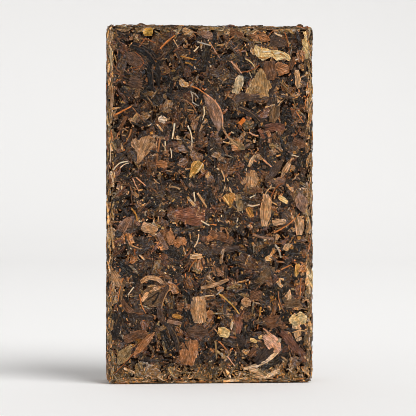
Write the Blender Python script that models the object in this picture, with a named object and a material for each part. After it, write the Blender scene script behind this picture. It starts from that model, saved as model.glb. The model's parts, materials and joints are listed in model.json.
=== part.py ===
"""A pressed white tea brick, standing on its short edge.

The brick is one solid: a block with bevelled edges and an uneven pressed
surface, and on it the leaves, leaf strips and stems that are large enough to
stand out from the finer shreds. Every piece is buried in the block with its
upper face showing, as the press leaves it.

Units are metres. The brick stands on the ground at z = 0, its middle at
x = y = 0, and its front looks along -Y.
"""

import math
import random

import bmesh
import bpy
from mathutils import Vector, noise

MM = 0.001

# The whole brick, over the pieces that stand out of it
BRICK_WIDTH = 87 * MM
BRICK_DEPTH = 24 * MM
BRICK_HEIGHT = 150 * MM

# The block of fine shreds between the larger pieces
PROUD = 0.8 * MM  # how far the highest pieces stand out of the block
BEVEL_WIDTH = 3.0 * MM  # the bevel round the two broad faces, across them
BEVEL_DEPTH = 1.5 * MM  # and into the brick
BEVEL_POWER = 1.4  # 1 is a flat bevel, 2 a round one
CORNER_POWER = 3.2  # how square the four corners of the outline are: 2 is round
RELIEF = 0.25 * MM  # dents and bumps of the pressed surface
RELIEF_SIZE = 15 * MM
GRID_STEP = 8 * MM
EDGE_STEPS = 2  # steps across half a bevel
FOOT_FADE = 8 * MM  # the relief dies out towards the flat foot

# Loose pieces
BURIED = 1.3 * MM  # how deep a piece reaches into the block
STEM_SIDES = 5
PIECE_SEED = 41
TRIES = 30

BLOCK_HALF = Vector((BRICK_WIDTH / 2 - PROUD, BRICK_DEPTH / 2 - PROUD, (BRICK_HEIGHT - PROUD) / 2))
BLOCK_MIDDLE = Vector((0, 0, BLOCK_HALF.z))
BEVEL = Vector((BEVEL_WIDTH, BEVEL_DEPTH, BEVEL_WIDTH))
INNER_HALF = BLOCK_HALF - BEVEL

# Each side of the brick: its outward axis, and the two axes along it
SIDES = {
    "front": (Vector((0, -1, 0)), Vector((1, 0, 0)), Vector((0, 0, 1))),
    "back": (Vector((0, 1, 0)), Vector((-1, 0, 0)), Vector((0, 0, 1))),
    "right": (Vector((1, 0, 0)), Vector((0, 1, 0)), Vector((0, 0, 1))),
    "left": (Vector((-1, 0, 0)), Vector((0, -1, 0)), Vector((0, 0, 1))),
    "top": (Vector((0, 0, 1)), Vector((1, 0, 0)), Vector((0, 1, 0))),
}

# The largest pieces of the front, in millimetres: name, form, the two ends of the
# midrib as distance right of the middle and height above the ground, width, bow
FRONT_PIECES = [
    ("straw_curl", "leaf", (18, 138.5), (33, 135.5), 4.4, 0.8),
    ("twisted_leaf_upper", "strip", (-33, 141), (-22, 132.5), 3.0, 1.6),
    ("twisted_leaf_lower", "strip", (-24, 134), (-23.5, 123), 3.4, -0.4),
    ("rimmed_leaf", "leaf", (-35, 137), (-27, 131.5), 5.6, 0),
    ("fan_leaf", "leaf", (21, 131.5), (20, 119), 10, 0),
    ("leaf_beside_fan", "leaf", (24.5, 132.5), (24.5, 126.5), 5.4, 0),
    ("long_dark_band", "strip", (10, 118), (24.5, 119), 3.8, 1.6),
    ("lower_dark_band", "strip", (11, 115.5), (21, 109), 2.6, 0.8),
    ("long_leaf", "leaf", (-2, 119), (2, 105), 4.4, 1.2),
    ("long_vein_upper", "stem", (-8, 124), (-0.5, 119.5), 1.0, -0.4),
    ("long_vein_middle", "stem", (-0.5, 119.5), (4.5, 107), 1.1, -1.7),
    ("long_vein_lower", "stem", (4.5, 107.5), (14, 98), 1.1, 1.7),
    ("mauve_leaf", "leaf", (22.5, 106.5), (31, 107), 3.8, 0),
    ("wedge_leaf", "leaf", (-23, 102.5), (-29.5, 91.5), 5.6, -0.8),
    ("lobed_leaf", "leaf", (-14, 69), (-1.5, 73.5), 6.4, 0),
    ("gold_leaf", "leaf", (-9, 86.5), (-2, 92.5), 4.2, 0),
    ("oval_leaf", "leaf", (18, 89), (17, 81.5), 5.0, 0),
    ("long_tan_leaf", "leaf", (23, 79.5), (22.5, 65.5), 4.8, 0),
    ("outer_leaf", "leaf", (37, 80), (39, 71.5), 5.2, 0),
    ("long_stem", "stem", (26.5, 63), (37.5, 71), 1.1, 0.8),
    ("stout_stem", "stem", (17.5, 62), (26.5, 60.5), 1.5, 0.2),
    ("chunk_leaf", "leaf", (-28.5, 66), (-22.5, 63.5), 4.6, 0),
    ("round_leaf", "leaf", (-28, 34.5), (-21, 38), 7.2, 0),
    ("olive_band_upper", "strip", (-17, 41.5), (-21, 32.5), 2.6, -0.8),
    ("olive_band_lower", "strip", (-20.5, 31.5), (-14, 13), 3.0, 2.2),
    ("hook_leaf", "strip", (-35.5, 43), (-37, 35), 1.8, -0.8),
    ("hook_foot", "strip", (-37, 35.5), (-28, 29.5), 2.6, -2.0),
    ("gold_hook", "strip", (-29, 42.5), (-20, 42), 2.1, 2.0),
    ("ragged_leaf", "leaf", (-5, 36.5), (-5.5, 25.5), 6.0, 0),
    ("wrinkled_leaf", "leaf", (-7, 18.5), (-11.5, 8.5), 6.4, 0),
    ("blade_leaf", "leaf", (-24, 22), (-32.5, 12.5), 3.8, -0.4),
    ("mitten_leaf", "leaf", (22.5, 21), (29, 14), 5.6, 0),
    ("mitten_stalk", "strip", (28, 13), (14, 5.5), 1.8, 1.2),
    ("outer_gold_leaf", "leaf", (33, 26), (40.5, 27.5), 5.6, 0),
    ("striped_leaf", "leaf", (30, 21.5), (36.5, 13), 3.6, 0.4),
    ("grey_oblong", "leaf", (19, 42), (27, 48.5), 4.0, 0),
]

# Pieces that break the outline at the top: distance right of the middle, length,
# width, and how far they stand out of the block
TOP_LUMPS = [
    ("top_lump", -29.0, 5.0, 4.2, 1.7 * MM),
    ("top_rise", -15.5, 11.0, 5.0, 1.1 * MM),
    ("top_curl", 37.5, 5.5, 2.6, 1.7 * MM),
]

# What a rule spreads over each side: rows, columns, shortest and longest piece
SPREAD = {
    "front": (6, 4, 5 * MM, 9 * MM),
    "back": (9, 5, 6 * MM, 14 * MM),
    "right": (11, 2, 6 * MM, 13 * MM),
    "left": (11, 2, 6 * MM, 13 * MM),
    "top": (2, 5, 6 * MM, 11 * MM),
}
FORMS = ["leaf", "leaf", "strip", "stem"]
CLEARANCE = 7 * MM  # between the middles of two spread pieces


def clear_scene():
    for item in list(bpy.data.objects):
        bpy.data.objects.remove(item, do_unlink=True)


def tea_material():
    material = bpy.data.materials.new("pressed_tea")
    material.use_nodes = True
    shader = material.node_tree.nodes["Principled BSDF"]
    shader.inputs["Base Color"].default_value = (0.105, 0.060, 0.036, 1)
    shader.inputs["Roughness"].default_value = 0.72
    shader.inputs["Metallic"].default_value = 0.0
    material.diffuse_color = (0.105, 0.060, 0.036, 1)
    return material


def clamp(value, limit):
    return max(-limit, min(limit, value))


def on_block(point, height):
    """A point outside the block, brought to a height over its bevelled surface."""
    local = point - BLOCK_MIDDLE
    inner = Vector([clamp(local[k], INNER_HALF[k]) for k in range(3)])
    way = Vector([(local[k] - inner[k]) / BEVEL[k] for k in range(3)])
    outline = (abs(way.x) ** CORNER_POWER + abs(way.z) ** CORNER_POWER) ** (1 / CORNER_POWER)
    way /= (outline ** BEVEL_POWER + abs(way.y) ** BEVEL_POWER) ** (1 / BEVEL_POWER)
    return BLOCK_MIDDLE + inner + Vector([way[k] * (BEVEL[k] + height) for k in range(3)])


def on_side(side, spot, height):
    """A point at a height over one side, from its distances along the side's two axes."""
    normal, first, second = SIDES[side]
    reach = sum(abs(normal[k]) * BLOCK_HALF[k] for k in range(3))
    return on_block(BLOCK_MIDDLE + normal * reach + first * spot.x + second * spot.y, height)


def stations(half, inner):
    """Positions of the grid lines across one direction: over the two bevels, and evenly between them."""
    steps = max(2, round(2 * inner / GRID_STEP))
    middle = [-inner + 2 * inner * k / steps for k in range(steps + 1)]
    edge = [inner + (half - inner) * k / EDGE_STEPS for k in range(1, EDGE_STEPS + 1)]
    return [-e for e in reversed(edge)] + middle + edge


def relief(point):
    """Height of the pressed surface over the smooth block, none at the foot."""
    fade = min(1.0, max(0.0, (point.z - BEVEL_WIDTH) / FOOT_FADE))
    return RELIEF * fade * clamp(noise.noise(point / RELIEF_SIZE), 1.0)


def pressed_block(material):
    """The block: a grid on a box, drawn onto the bevelled surface, with a flat foot."""
    grid = bmesh.new()
    bmesh.ops.create_cube(grid, size=2.0)
    bmesh.ops.scale(grid, vec=BLOCK_HALF, verts=grid.verts)
    for axis in range(3):
        direction = Vector([1.0 if k == axis else 0.0 for k in range(3)])
        for place in stations(BLOCK_HALF[axis], INNER_HALF[axis])[1:-1]:
            geometry = grid.verts[:] + grid.edges[:] + grid.faces[:]
            bmesh.ops.bisect_plane(grid, geom=geometry, plane_co=direction * place, plane_no=direction)
    foot = [face for face in grid.faces if face.normal.z < -0.9]
    inside = [edge for edge in grid.edges if all(face in foot for face in edge.link_faces)
              and all(abs(v.co.x) <= INNER_HALF.x + 1e-6 and abs(v.co.y) <= INNER_HALF.y + 1e-6
                      for v in edge.verts)
              and not on_foot_outline(edge)]
    bmesh.ops.dissolve_edges(grid, edges=inside, use_verts=True)
    for vertex in grid.verts:
        place = vertex.co + BLOCK_MIDDLE
        vertex.co = on_block(place, relief(place))
    bmesh.ops.recalc_face_normals(grid, faces=grid.faces)
    bmesh.ops.triangulate(grid, faces=grid.faces)
    mesh = bpy.data.meshes.new("tea_brick")
    grid.to_mesh(mesh)
    grid.free()
    mesh.materials.append(material)
    block = bpy.data.objects.new("tea_brick", mesh)
    bpy.context.scene.collection.objects.link(block)
    return block


def on_foot_outline(edge):
    """True for the edges that bound the flat foot."""
    along_x = all(abs(abs(v.co.x) - INNER_HALF.x) < 1e-6 for v in edge.verts)
    along_y = all(abs(abs(v.co.y) - INNER_HALF.y) < 1e-6 for v in edge.verts)
    return along_x or along_y


def midrib(start, end, bow, steps):
    """Points and sideways directions along a bowed midrib in one side's plane."""
    run = end - start
    across = Vector((-run.y, run.x)).normalized()
    points = [start + run * (k / steps) + across * (bow * 4 * (k / steps) * (1 - k / steps))
              for k in range(steps + 1)]
    ways = []
    for k in range(steps + 1):
        ahead = points[min(k + 1, steps)] - points[max(k - 1, 0)]
        ways.append(Vector((-ahead.y, ahead.x)).normalized())
    return points, ways


def close_rows(mesh, rows_top, rows_low):
    """Faces of a thin solid between two alike grids of points, all in triangles."""
    last_row, last_column = len(rows_top) - 1, len(rows_top[0]) - 1
    for i in range(last_row):
        for j in range(last_column):
            a, b, c, d = rows_top[i][j], rows_top[i + 1][j], rows_top[i + 1][j + 1], rows_top[i][j + 1]
            mesh.faces.new((a, b, c))
            mesh.faces.new((a, c, d))
            a, b, c, d = rows_low[i][j], rows_low[i + 1][j], rows_low[i + 1][j + 1], rows_low[i][j + 1]
            mesh.faces.new((c, b, a))
            mesh.faces.new((d, c, a))
    rim = [(i, 0) for i in range(last_row)]
    rim += [(last_row, j) for j in range(last_column)]
    rim += [(i, last_column) for i in range(last_row, 0, -1)]
    rim += [(0, j) for j in range(last_column, 0, -1)]
    for (i, j), (k, m) in zip(rim, rim[1:] + rim[:1]):
        mesh.faces.new((rows_top[k][m], rows_top[i][j], rows_low[i][j]))
        mesh.faces.new((rows_top[k][m], rows_low[i][j], rows_low[k][m]))


def thin_piece(name, side, start, end, width, bow, form, standout, draw):
    """A wavy leaf or strip: three rows of points along the midrib, its upper face just proud of the block."""
    length = (end - start).length + abs(bow)
    steps = max(3, min(6, round(length / (3.4 * MM))))
    points, ways = midrib(start, end, bow, steps)
    mesh = bmesh.new()
    top, low = [], []
    for k, (point, way) in enumerate(zip(points, ways)):
        t = k / steps
        if form == "leaf":
            half = width / 2 * (0.22 + 0.78 * math.sin(math.pi * (0.08 + 0.84 * t)) ** 0.8)
        else:
            half = width / 2 * (0.55 + 0.45 * math.sin(math.pi * t) ** 0.5)
        half *= draw.uniform(0.86, 1.08)
        crown = standout * draw.uniform(0.72, 1.0)
        row_top, row_low = [], []
        for j in (-1, 0, 1):
            spot = point + way * (half * j)
            height = crown if j == 0 else standout * draw.uniform(0.35, 0.75)
            row_top.append(mesh.verts.new(on_side(side, spot, height)))
            row_low.append(mesh.verts.new(on_side(side, spot, -BURIED)))
        top.append(row_top)
        low.append(row_low)
    close_rows(mesh, top, low)
    return piece_object(name, mesh)


def stem_piece(name, side, start, end, width, bow, standout, draw):
    """A stem: a five-sided rod that lies half in the block."""
    length = (end - start).length + abs(bow)
    steps = max(2, min(5, round(length / (4 * MM))))
    points, ways = midrib(start, end, bow, steps)
    mesh = bmesh.new()
    rings = []
    for k, (point, way) in enumerate(zip(points, ways)):
        radius = width / 2 * draw.uniform(0.85, 1.05)
        middle = standout * draw.uniform(0.8, 1.0) - radius
        ring = []
        for s in range(STEM_SIDES):
            angle = 2 * math.pi * s / STEM_SIDES
            spot = point + way * (radius * math.sin(angle))
            ring.append(mesh.verts.new(on_side(side, spot, middle + radius * math.cos(angle))))
        rings.append(ring)
    for near, far in zip(rings, rings[1:]):
        for s in range(STEM_SIDES):
            after = (s + 1) % STEM_SIDES
            mesh.faces.new((near[s], far[s], far[after]))
            mesh.faces.new((near[s], far[after], near[after]))
    for s in range(1, STEM_SIDES - 1):
        mesh.faces.new((rings[0][0], rings[0][s], rings[0][s + 1]))
        mesh.faces.new((rings[-1][0], rings[-1][s + 1], rings[-1][s]))
    return piece_object(name, mesh)


def piece_object(name, mesh):
    bmesh.ops.recalc_face_normals(mesh, faces=mesh.faces)
    data = bpy.data.meshes.new(name)
    mesh.to_mesh(data)
    mesh.free()
    return bpy.data.objects.new(name, data)


def piece(name, side, form, start, end, width, bow, standout, draw):
    if form == "stem":
        return stem_piece(name, side, start, end, width, bow, standout, draw)
    return thin_piece(name, side, start, end, width, bow, form, standout, draw)


def front_pieces(draw):
    """The named pieces of the front, and the ground that each one covers."""
    made, covered = [], []
    for name, form, start, end, width, bow in FRONT_PIECES:
        first = Vector((start[0] * MM, start[1] * MM - BLOCK_MIDDLE.z))
        last = Vector((end[0] * MM, end[1] * MM - BLOCK_MIDDLE.z))
        standout = PROUD * draw.uniform(0.75, 1.0)
        made.append(piece(name, "front", form, first, last, width * MM, bow * MM, standout, draw))
        covered += [first, (first + last) / 2, last]
    return made, covered


def top_lumps(draw):
    """The pieces that break the outline along the top."""
    made = []
    for name, along, length, width, standout in TOP_LUMPS:
        first = Vector(((along - length / 2) * MM, -4 * MM))
        last = Vector(((along + length / 2) * MM, -3 * MM))
        made.append(thin_piece(name, "top", first, last, width * MM, 0, "leaf", standout, draw))
    return made


def spread_pieces(side, covered, draw):
    """Pieces spread evenly over one side: one in each cell of a grid, where nothing lies yet."""
    rows, columns, shortest, longest = SPREAD[side]
    normal, first, second = SIDES[side]
    reach_along = sum(abs(first[k]) * BLOCK_HALF[k] for k in range(3)) - 2.5 * MM
    reach_up = sum(abs(second[k]) * BLOCK_HALF[k] for k in range(3)) - 4 * MM
    narrow = min(reach_along, reach_up) < 2 * longest
    made = []
    cells = [(r, c) for r in range(rows) for c in range(columns)]
    draw.shuffle(cells)
    for order, (r, c) in enumerate(cells):
        size = longest + (shortest - longest) * (order / len(cells))  # the largest first
        for attempt in range(TRIES):
            along = reach_along * (2 * (c + draw.uniform(0.1, 0.9)) / columns - 1)
            up = reach_up * (2 * (r + draw.uniform(0.1, 0.9)) / rows - 1)
            middle = Vector((along, up))
            if all((middle - other).length > CLEARANCE for other in covered):
                break
        else:
            continue
        covered.append(middle)
        form = draw.choice(FORMS)
        angle = draw.uniform(0, math.pi)
        if narrow:  # the press combs the pieces of a narrow side along it
            lengthways = math.pi / 2 if reach_up > reach_along else 0
            angle = lengthways + draw.uniform(-0.45, 0.45)
        reach = Vector((math.cos(angle), math.sin(angle))) * (size / 2)
        start = limited(middle - reach, reach_along, reach_up)
        end = limited(middle + reach, reach_along, reach_up)
        width = 1.1 * MM if form == "stem" else size * draw.uniform(0.28, 0.5)
        bow = size * draw.uniform(-0.15, 0.15)
        standout = PROUD * draw.uniform(0.6, 1.0)
        made.append(piece(f"{side}_{order}", side, form, start, end, width, bow, standout, draw))
    return made


def limited(point, reach_along, reach_up):
    return Vector((clamp(point.x, reach_along), clamp(point.y, reach_up)))


def fuse(block, pieces):
    """One union of the block with all its pieces, applied, and the pieces' own objects removed."""
    heap = bpy.data.collections.new("pressed_pieces")
    bpy.context.scene.collection.children.link(heap)
    for item in pieces:
        heap.objects.link(item)
    union = block.modifiers.new("fuse", "BOOLEAN")
    union.operation = "UNION"
    union.operand_type = "COLLECTION"
    union.collection = heap
    union.solver = "EXACT"
    fused = bpy.data.meshes.new_from_object(block.evaluated_get(bpy.context.evaluated_depsgraph_get()))
    block.modifiers.clear()
    block.data = fused
    fused.name = "tea_brick"
    for item in pieces:
        bpy.data.objects.remove(item, do_unlink=True)
    bpy.data.collections.remove(heap)


def tea_brick():
    draw = random.Random(PIECE_SEED)
    block = pressed_block(tea_material())
    pieces, covered = front_pieces(draw)
    pieces += top_lumps(draw)
    for side in SPREAD:
        pieces += spread_pieces(side, covered if side == "front" else [], draw)
    fuse(block, pieces)
    block.data.shade_flat()
    return block


def main():
    clear_scene()
    tea_brick()


main()
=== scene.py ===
# Pressed white tea brick: the looks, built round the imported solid.
import functools
import json
import math
import random

import bmesh
import bpy
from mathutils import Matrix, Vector, noise

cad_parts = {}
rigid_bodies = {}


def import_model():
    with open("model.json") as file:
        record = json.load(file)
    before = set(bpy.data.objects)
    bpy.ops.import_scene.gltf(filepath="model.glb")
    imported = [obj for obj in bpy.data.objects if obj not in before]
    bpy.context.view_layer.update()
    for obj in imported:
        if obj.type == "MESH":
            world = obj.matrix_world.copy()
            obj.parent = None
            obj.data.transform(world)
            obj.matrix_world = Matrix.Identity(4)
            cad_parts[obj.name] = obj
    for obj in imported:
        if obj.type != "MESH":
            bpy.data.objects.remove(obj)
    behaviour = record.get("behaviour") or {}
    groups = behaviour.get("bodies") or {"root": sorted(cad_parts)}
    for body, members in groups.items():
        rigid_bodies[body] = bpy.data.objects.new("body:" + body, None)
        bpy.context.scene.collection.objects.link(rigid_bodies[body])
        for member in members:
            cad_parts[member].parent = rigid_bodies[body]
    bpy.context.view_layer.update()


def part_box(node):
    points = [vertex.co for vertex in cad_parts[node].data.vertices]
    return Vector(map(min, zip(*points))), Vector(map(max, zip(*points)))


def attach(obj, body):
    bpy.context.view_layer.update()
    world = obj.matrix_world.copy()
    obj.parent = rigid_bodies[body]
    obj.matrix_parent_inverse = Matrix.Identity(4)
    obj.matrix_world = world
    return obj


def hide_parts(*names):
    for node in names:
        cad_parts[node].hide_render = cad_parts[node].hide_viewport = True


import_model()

nodeLow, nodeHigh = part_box("tea_brick")
mm = 0.001

# The pressed block under the loose pieces, which stand out of it by up to "proud"
block = {
    "proud": 0.8 * mm,
    "bevelWidth": 3.0 * mm,  # round the two broad faces, across them
    "bevelDepth": 1.5 * mm,  # and into the brick
    "bevelPower": 1.4,  # 1 is a flat bevel, 2 a round one
    "cornerPower": 3.2,  # how square the four corners of the outline are: 2 is round
    "height": 150 * mm,  # without the few bits that stand up from the top
    "footSink": 0.85 * mm,  # underneath, everything lies this much deeper, so the foot stays flat
}
halfSize = Vector((
    (nodeHigh.x - nodeLow.x) / 2 - block["proud"],
    (nodeHigh.y - nodeLow.y) / 2 - block["proud"],
    (block["height"] - block["proud"]) / 2,
))
bevel = Vector((block["bevelWidth"], block["bevelDepth"], block["bevelWidth"]))
innerHalf = halfSize - bevel
blockMiddle = Vector((0, 0, halfSize.z))
highest, deepest = block["proud"] - 0.02 * mm, -1.3 * mm  # for the points of loose pieces

# Colours of dried leaf and stem: red, green and blue of 255
tints = {
    "jet": (19, 16, 15), "black": (32, 24, 18), "charcoal": (53, 40, 32), "slate": (78, 59, 47),
    "cocoa": (88, 62, 44), "bark": (106, 80, 52), "umber": (106, 70, 43), "maroon": (106, 67, 48),
    "mauve": (126, 93, 72), "rose": (140, 106, 84), "brick": (128, 80, 56), "russet": (156, 103, 60),
    "rust": (146, 84, 40), "orange": (188, 116, 58), "ember": (206, 110, 30), "ochre": (176, 121, 46),
    "amber": (190, 140, 44), "gold": (190, 144, 68), "honey": (206, 168, 102), "straw": (214, 182, 124),
    "hay": (160, 124, 78), "tan": (170, 127, 86), "caramel": (186, 141, 97), "wheat": (194, 152, 106),
    "olive": (136, 109, 70), "sage": (184, 160, 122), "pink": (206, 150, 113), "cream": (222, 189, 152),
    "pale": (218, 199, 168), "silver": (168, 158, 146),
}


def linear(name):
    # A tint as the renderer reads it, from its screen values
    parts = [c / 255 for c in tints[name]]
    return [c / 12.92 if c < 0.04 else ((c + 0.055) / 1.055) ** 2.4 for c in parts] + [1.0]


def clamp(value, low, high):
    return max(low, min(high, value))


def pressedPoint(point, height):
    # A point outside the block, brought to a height over its bevelled surface
    local = point - blockMiddle
    inner = Vector([clamp(local[k], -innerHalf[k], innerHalf[k]) for k in range(3)])
    way = Vector([(local[k] - inner[k]) / bevel[k] for k in range(3)])
    corner, bulge = block["cornerPower"], block["bevelPower"]
    outline = (abs(way.x) ** corner + abs(way.z) ** corner) ** (1 / corner)
    way /= (outline ** bulge + abs(way.y) ** bulge) ** (1 / bulge)
    height -= block["footSink"] * max(0.0, -way.z)
    return blockMiddle + inner + Vector([way[k] * (bevel[k] + height) for k in range(3)])


def addObject(name, data):
    made = bpy.data.objects.new(name, data)
    bpy.context.scene.collection.objects.link(made)
    return made


def addNode(tree, kind, options=None, inputs=None):
    # A node with its options, and its inputs linked or set
    made = tree.nodes.new(kind)
    for name, value in (options or {}).items():
        setattr(made, name, value)
    for name, value in (inputs or {}).items():
        if isinstance(value, bpy.types.NodeSocket):
            tree.links.new(value, made.inputs[name])
        else:
            made.inputs[name].default_value = value
    return made


def addMath(tree, operation, first, second=0.0, third=0.0, limited=False):
    return addNode(tree, "ShaderNodeMath", {"operation": operation, "use_clamp": limited},
                   {0: first, 1: second, 2: third}).outputs[0]


def addVector(tree, operation, first, second=(0, 0, 0), third=(0, 0, 0)):
    inputs = {0: first, 2: third, ("Scale" if operation == "SCALE" else 1): second}
    made = addNode(tree, "ShaderNodeVectorMath", {"operation": operation}, inputs)
    return made.outputs["Value" if operation in ("LENGTH", "DOT_PRODUCT") else "Vector"]


def addParts(tree, vector):
    return addNode(tree, "ShaderNodeSeparateXYZ", None, {0: vector}).outputs


def addJoined(tree, parts):
    return addNode(tree, "ShaderNodeCombineXYZ", None, parts).outputs[0]


def addRange(tree, value, begin, end, first, last, kind="LINEAR"):
    # Goes from first to last while the value goes from begin to end, and stays there past them
    return addNode(tree, "ShaderNodeMapRange", {"interpolation_type": kind}, {
        "Value": value, "From Min": begin, "From Max": end, "To Min": first, "To Max": last}).outputs[0]


def addMix(tree, share, first, second):
    return addNode(tree, "ShaderNodeMix", {"data_type": "RGBA"}, {0: share, 6: first, 7: second}).outputs[2]


def addRamp(tree, value, stops, kind="LINEAR"):
    # A colour for each value: the stops are names of tints with the values where they begin
    ramp = addNode(tree, "ShaderNodeValToRGB", None, {"Fac": value})
    ramp.color_ramp.interpolation = kind
    elements = ramp.color_ramp.elements
    for index, (tint, begin) in enumerate(stops):
        stop = elements[index] if index < 2 else elements.new(begin)
        stop.position, stop.color = begin, linear(tint)
    return ramp.outputs["Color"]


def addNoise(tree, spot, scale, detail, roughness=0.6, distortion=0.0):
    return addNode(tree, "ShaderNodeTexNoise", None, {
        "Vector": spot, "Scale": scale, "Detail": detail, "Roughness": roughness,
        "Distortion": distortion}).outputs["Fac"]


def addRidge(tree, value, narrow):
    # 1 along the lines where a noise crosses its middle, falling to 0 beside them
    gap = addMath(tree, "ABSOLUTE", addMath(tree, "SUBTRACT", value, 0.5))
    return addMath(tree, "MULTIPLY_ADD", gap, -narrow, 1.0, limited=True)


def addAttribute(tree, label, output="Fac"):
    return addNode(tree, "ShaderNodeAttribute", {"attribute_name": label}).outputs[output]


def addBump(tree, shader, strength, distance, relief):
    bump = addNode(tree, "ShaderNodeBump", None, {
        "Strength": strength, "Distance": distance, "Height": relief}).outputs["Normal"]
    tree.links.new(bump, shader.inputs["Normal"])


def newMatter(name, roughness, specular):
    material = bpy.data.materials.new(name)
    material.use_nodes = True
    shader = material.node_tree.nodes["Principled BSDF"]
    shader.inputs["Roughness"].default_value = roughness
    shader.inputs["Specular IOR Level"].default_value = specular
    return material, material.node_tree, shader


# What all leaf and stem finishes have in common
matter = {
    "pickShift": 90.0,  # every piece reads its own stretch of the noises
    "creaseShift": (31.0, 7.0, 0.0), "glintShift": (3.0, 57.0, 0.0), "hueShift": (17.0, 3.0, 40.0),
    "midribNarrow": 4.5, "veinGain": 1.6, "veinDrop": 0.6, "rimPower": 2.0,
    "calmFrom": 0.15, "calmTo": 0.55,  # patterns fade on tints whose green is more than this
    # the painted hollow shade: heights where it starts and ends, and the light at the top
    "hollowShadeFrom": -0.4, "hollowShadeTo": 0.35, "topLight": 1.08,  # light by height in millimetres
    # the grey of the painted sheen and the tint of the painted glints
    "greyParts": (0.3, 0.55, 0.15), "greyTint": (1.0, 0.97, 0.88), "shineTint": (0.95, 0.92, 0.88),
    "hueGain": 5.0, "hueStart": -2.0,
    "relief": (0.5, 0.5, -0.35, 0.25),  # of the streaks, mottle, folds and glints
}


def addVeins(tree, look, grain, pick, mottle):
    # 1 on the midrib and on the side veins. Part of the pieces are ribbed along instead
    calc = functools.partial(addMath, tree)
    parts = addParts(tree, grain)
    across = calc("ABSOLUTE", parts["Y"])
    slant = calc("ADD", calc("MULTIPLY", parts["X"], look["veinWay"][0]),
                 calc("MULTIPLY", across, look["veinWay"][1]))
    slant = calc("MULTIPLY_ADD", mottle, look["veinWander"], slant)
    ribs = calc("MULTIPLY_ADD", mottle, look["ribWander"], calc("MULTIPLY", parts["Y"], look["ribs"]))
    ribbed = calc("GREATER_THAN", pick, look["ribbedFrom"])
    slant = calc("MULTIPLY_ADD", ribbed, calc("SUBTRACT", ribs, slant), slant)
    wave = calc("SINE", calc("MULTIPLY", slant, 2 * math.pi))
    midVein = calc("MULTIPLY_ADD", across, -matter["midribNarrow"], 1.0, limited=True)
    return calc("MAXIMUM", calc("MULTIPLY_ADD", wave, matter["veinGain"], -matter["veinDrop"]), midVein)


def teaMatter(name, look):
    # Dried leaf or stem: its own tint, streaked along the grain, mottled and veined, with painted shade along
    # its fold lines and where it lies deep, and painted glints, sheen and rim light
    material, tree, shader = newMatter(name, look["roughness"], look["specular"])
    calc, combine = functools.partial(addMath, tree), functools.partial(addVector, tree)
    tint, grain = addAttribute(tree, "tint", "Color"), addAttribute(tree, "grain", "Vector")
    pick, rim, height = [addAttribute(tree, label) for label in ("pick", "rim", "height")]
    spot = combine("ADD", grain, addJoined(tree, {"Z": calc("MULTIPLY", pick, matter["pickShift"])}))
    along = combine("MULTIPLY", spot, look["stretch"])
    streak = addNoise(tree, along, look["streakScale"], 3.0, 0.65, 0.5)
    mottle = addNoise(tree, spot, look["mottleScale"], 4.0, 0.72)
    cloud = addNoise(tree, spot, look["cloudScale"], 1.0, 0.5)
    creases = addNoise(tree, combine("ADD", along, matter["creaseShift"]), look["creaseScale"], 2.0, 0.5, 0.8)
    glints = addNoise(tree, combine("ADD", along, matter["glintShift"]), look["glintScale"], 2.0, 0.6, 0.6)
    hues = addNoise(tree, combine("ADD", spot, matter["hueShift"]), look["hueScale"], 2.0, 0.6)
    fold, glint = addRidge(tree, creases, look["creaseNarrow"]), addRidge(tree, glints, look["glintNarrow"])
    vein = addVeins(tree, look, grain, pick, mottle)

    # the light of each spot as a share of its tint: noises swing it about 1, lines only raise or lower it;
    # the fold lines lower it as painted shade, the glint lines and the rims raise it as painted highlights
    share = 1.0
    for pattern, amount, middle in (
            (streak, look["streak"], 0.5), (mottle, look["mottle"], 0.5), (fold, -look["fold"], 0.0),
            (glint, look["glint"], 0.0), (vein, look["vein"], 0.0), (cloud, look["cloud"], 0.5),
            (calc("POWER", rim, matter["rimPower"]), look["rim"], 0.0)):
        share = calc("MULTIPLY", share, calc("MULTIPLY_ADD", pattern, amount, 1.0 - middle * amount))
    share = calc("MINIMUM", calc("MAXIMUM", share, look["darkest"]), look["lightest"])
    green = addNode(tree, "ShaderNodeSeparateColor", None, {0: tint}).outputs["Green"]
    calmer = addRange(tree, green, matter["calmFrom"], matter["calmTo"], 1.0, look["paleCalm"])
    # painted shade in the hollows: spots that lie low are darker, the highest a little lighter
    hollowShade = addRange(tree, height, matter["hollowShadeFrom"], matter["hollowShadeTo"], look["hollowShade"], matter["topLight"],
                    "SMOOTHSTEP")
    share = calc("MULTIPLY", calc("POWER", share, calmer), hollowShade)

    # painted sheen turns the lightest spots grey, painted glints add light, and the hue drifts between cool
    # and warm
    colour = combine("SCALE", tint, share)
    grey = combine("SCALE", matter["greyTint"], combine("DOT_PRODUCT", colour, matter["greyParts"]))
    paintedSheen = calc("MULTIPLY", calc("SUBTRACT", share, 1.0), look["sheen"], limited=True)
    shine = calc("MULTIPLY", calc("MULTIPLY", glint, streak), look["shine"])
    colour = combine("ADD", addMix(tree, paintedSheen, colour, grey), combine("SCALE", matter["shineTint"], shine))
    warmth = calc("MULTIPLY_ADD", hues, matter["hueGain"], matter["hueStart"], limited=True)
    hue = addMix(tree, warmth, look["cool"] + (1,), look["warm"] + (1,))
    tree.links.new(combine("MULTIPLY", colour, hue), shader.inputs["Base Color"])
    relief = 0.0
    for pattern, amount in zip((streak, mottle, fold, glint), matter["relief"]):
        relief = calc("MULTIPLY_ADD", pattern, amount, relief)
    addBump(tree, shader, look["bump"], look["bumpSize"], relief)
    return material


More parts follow.
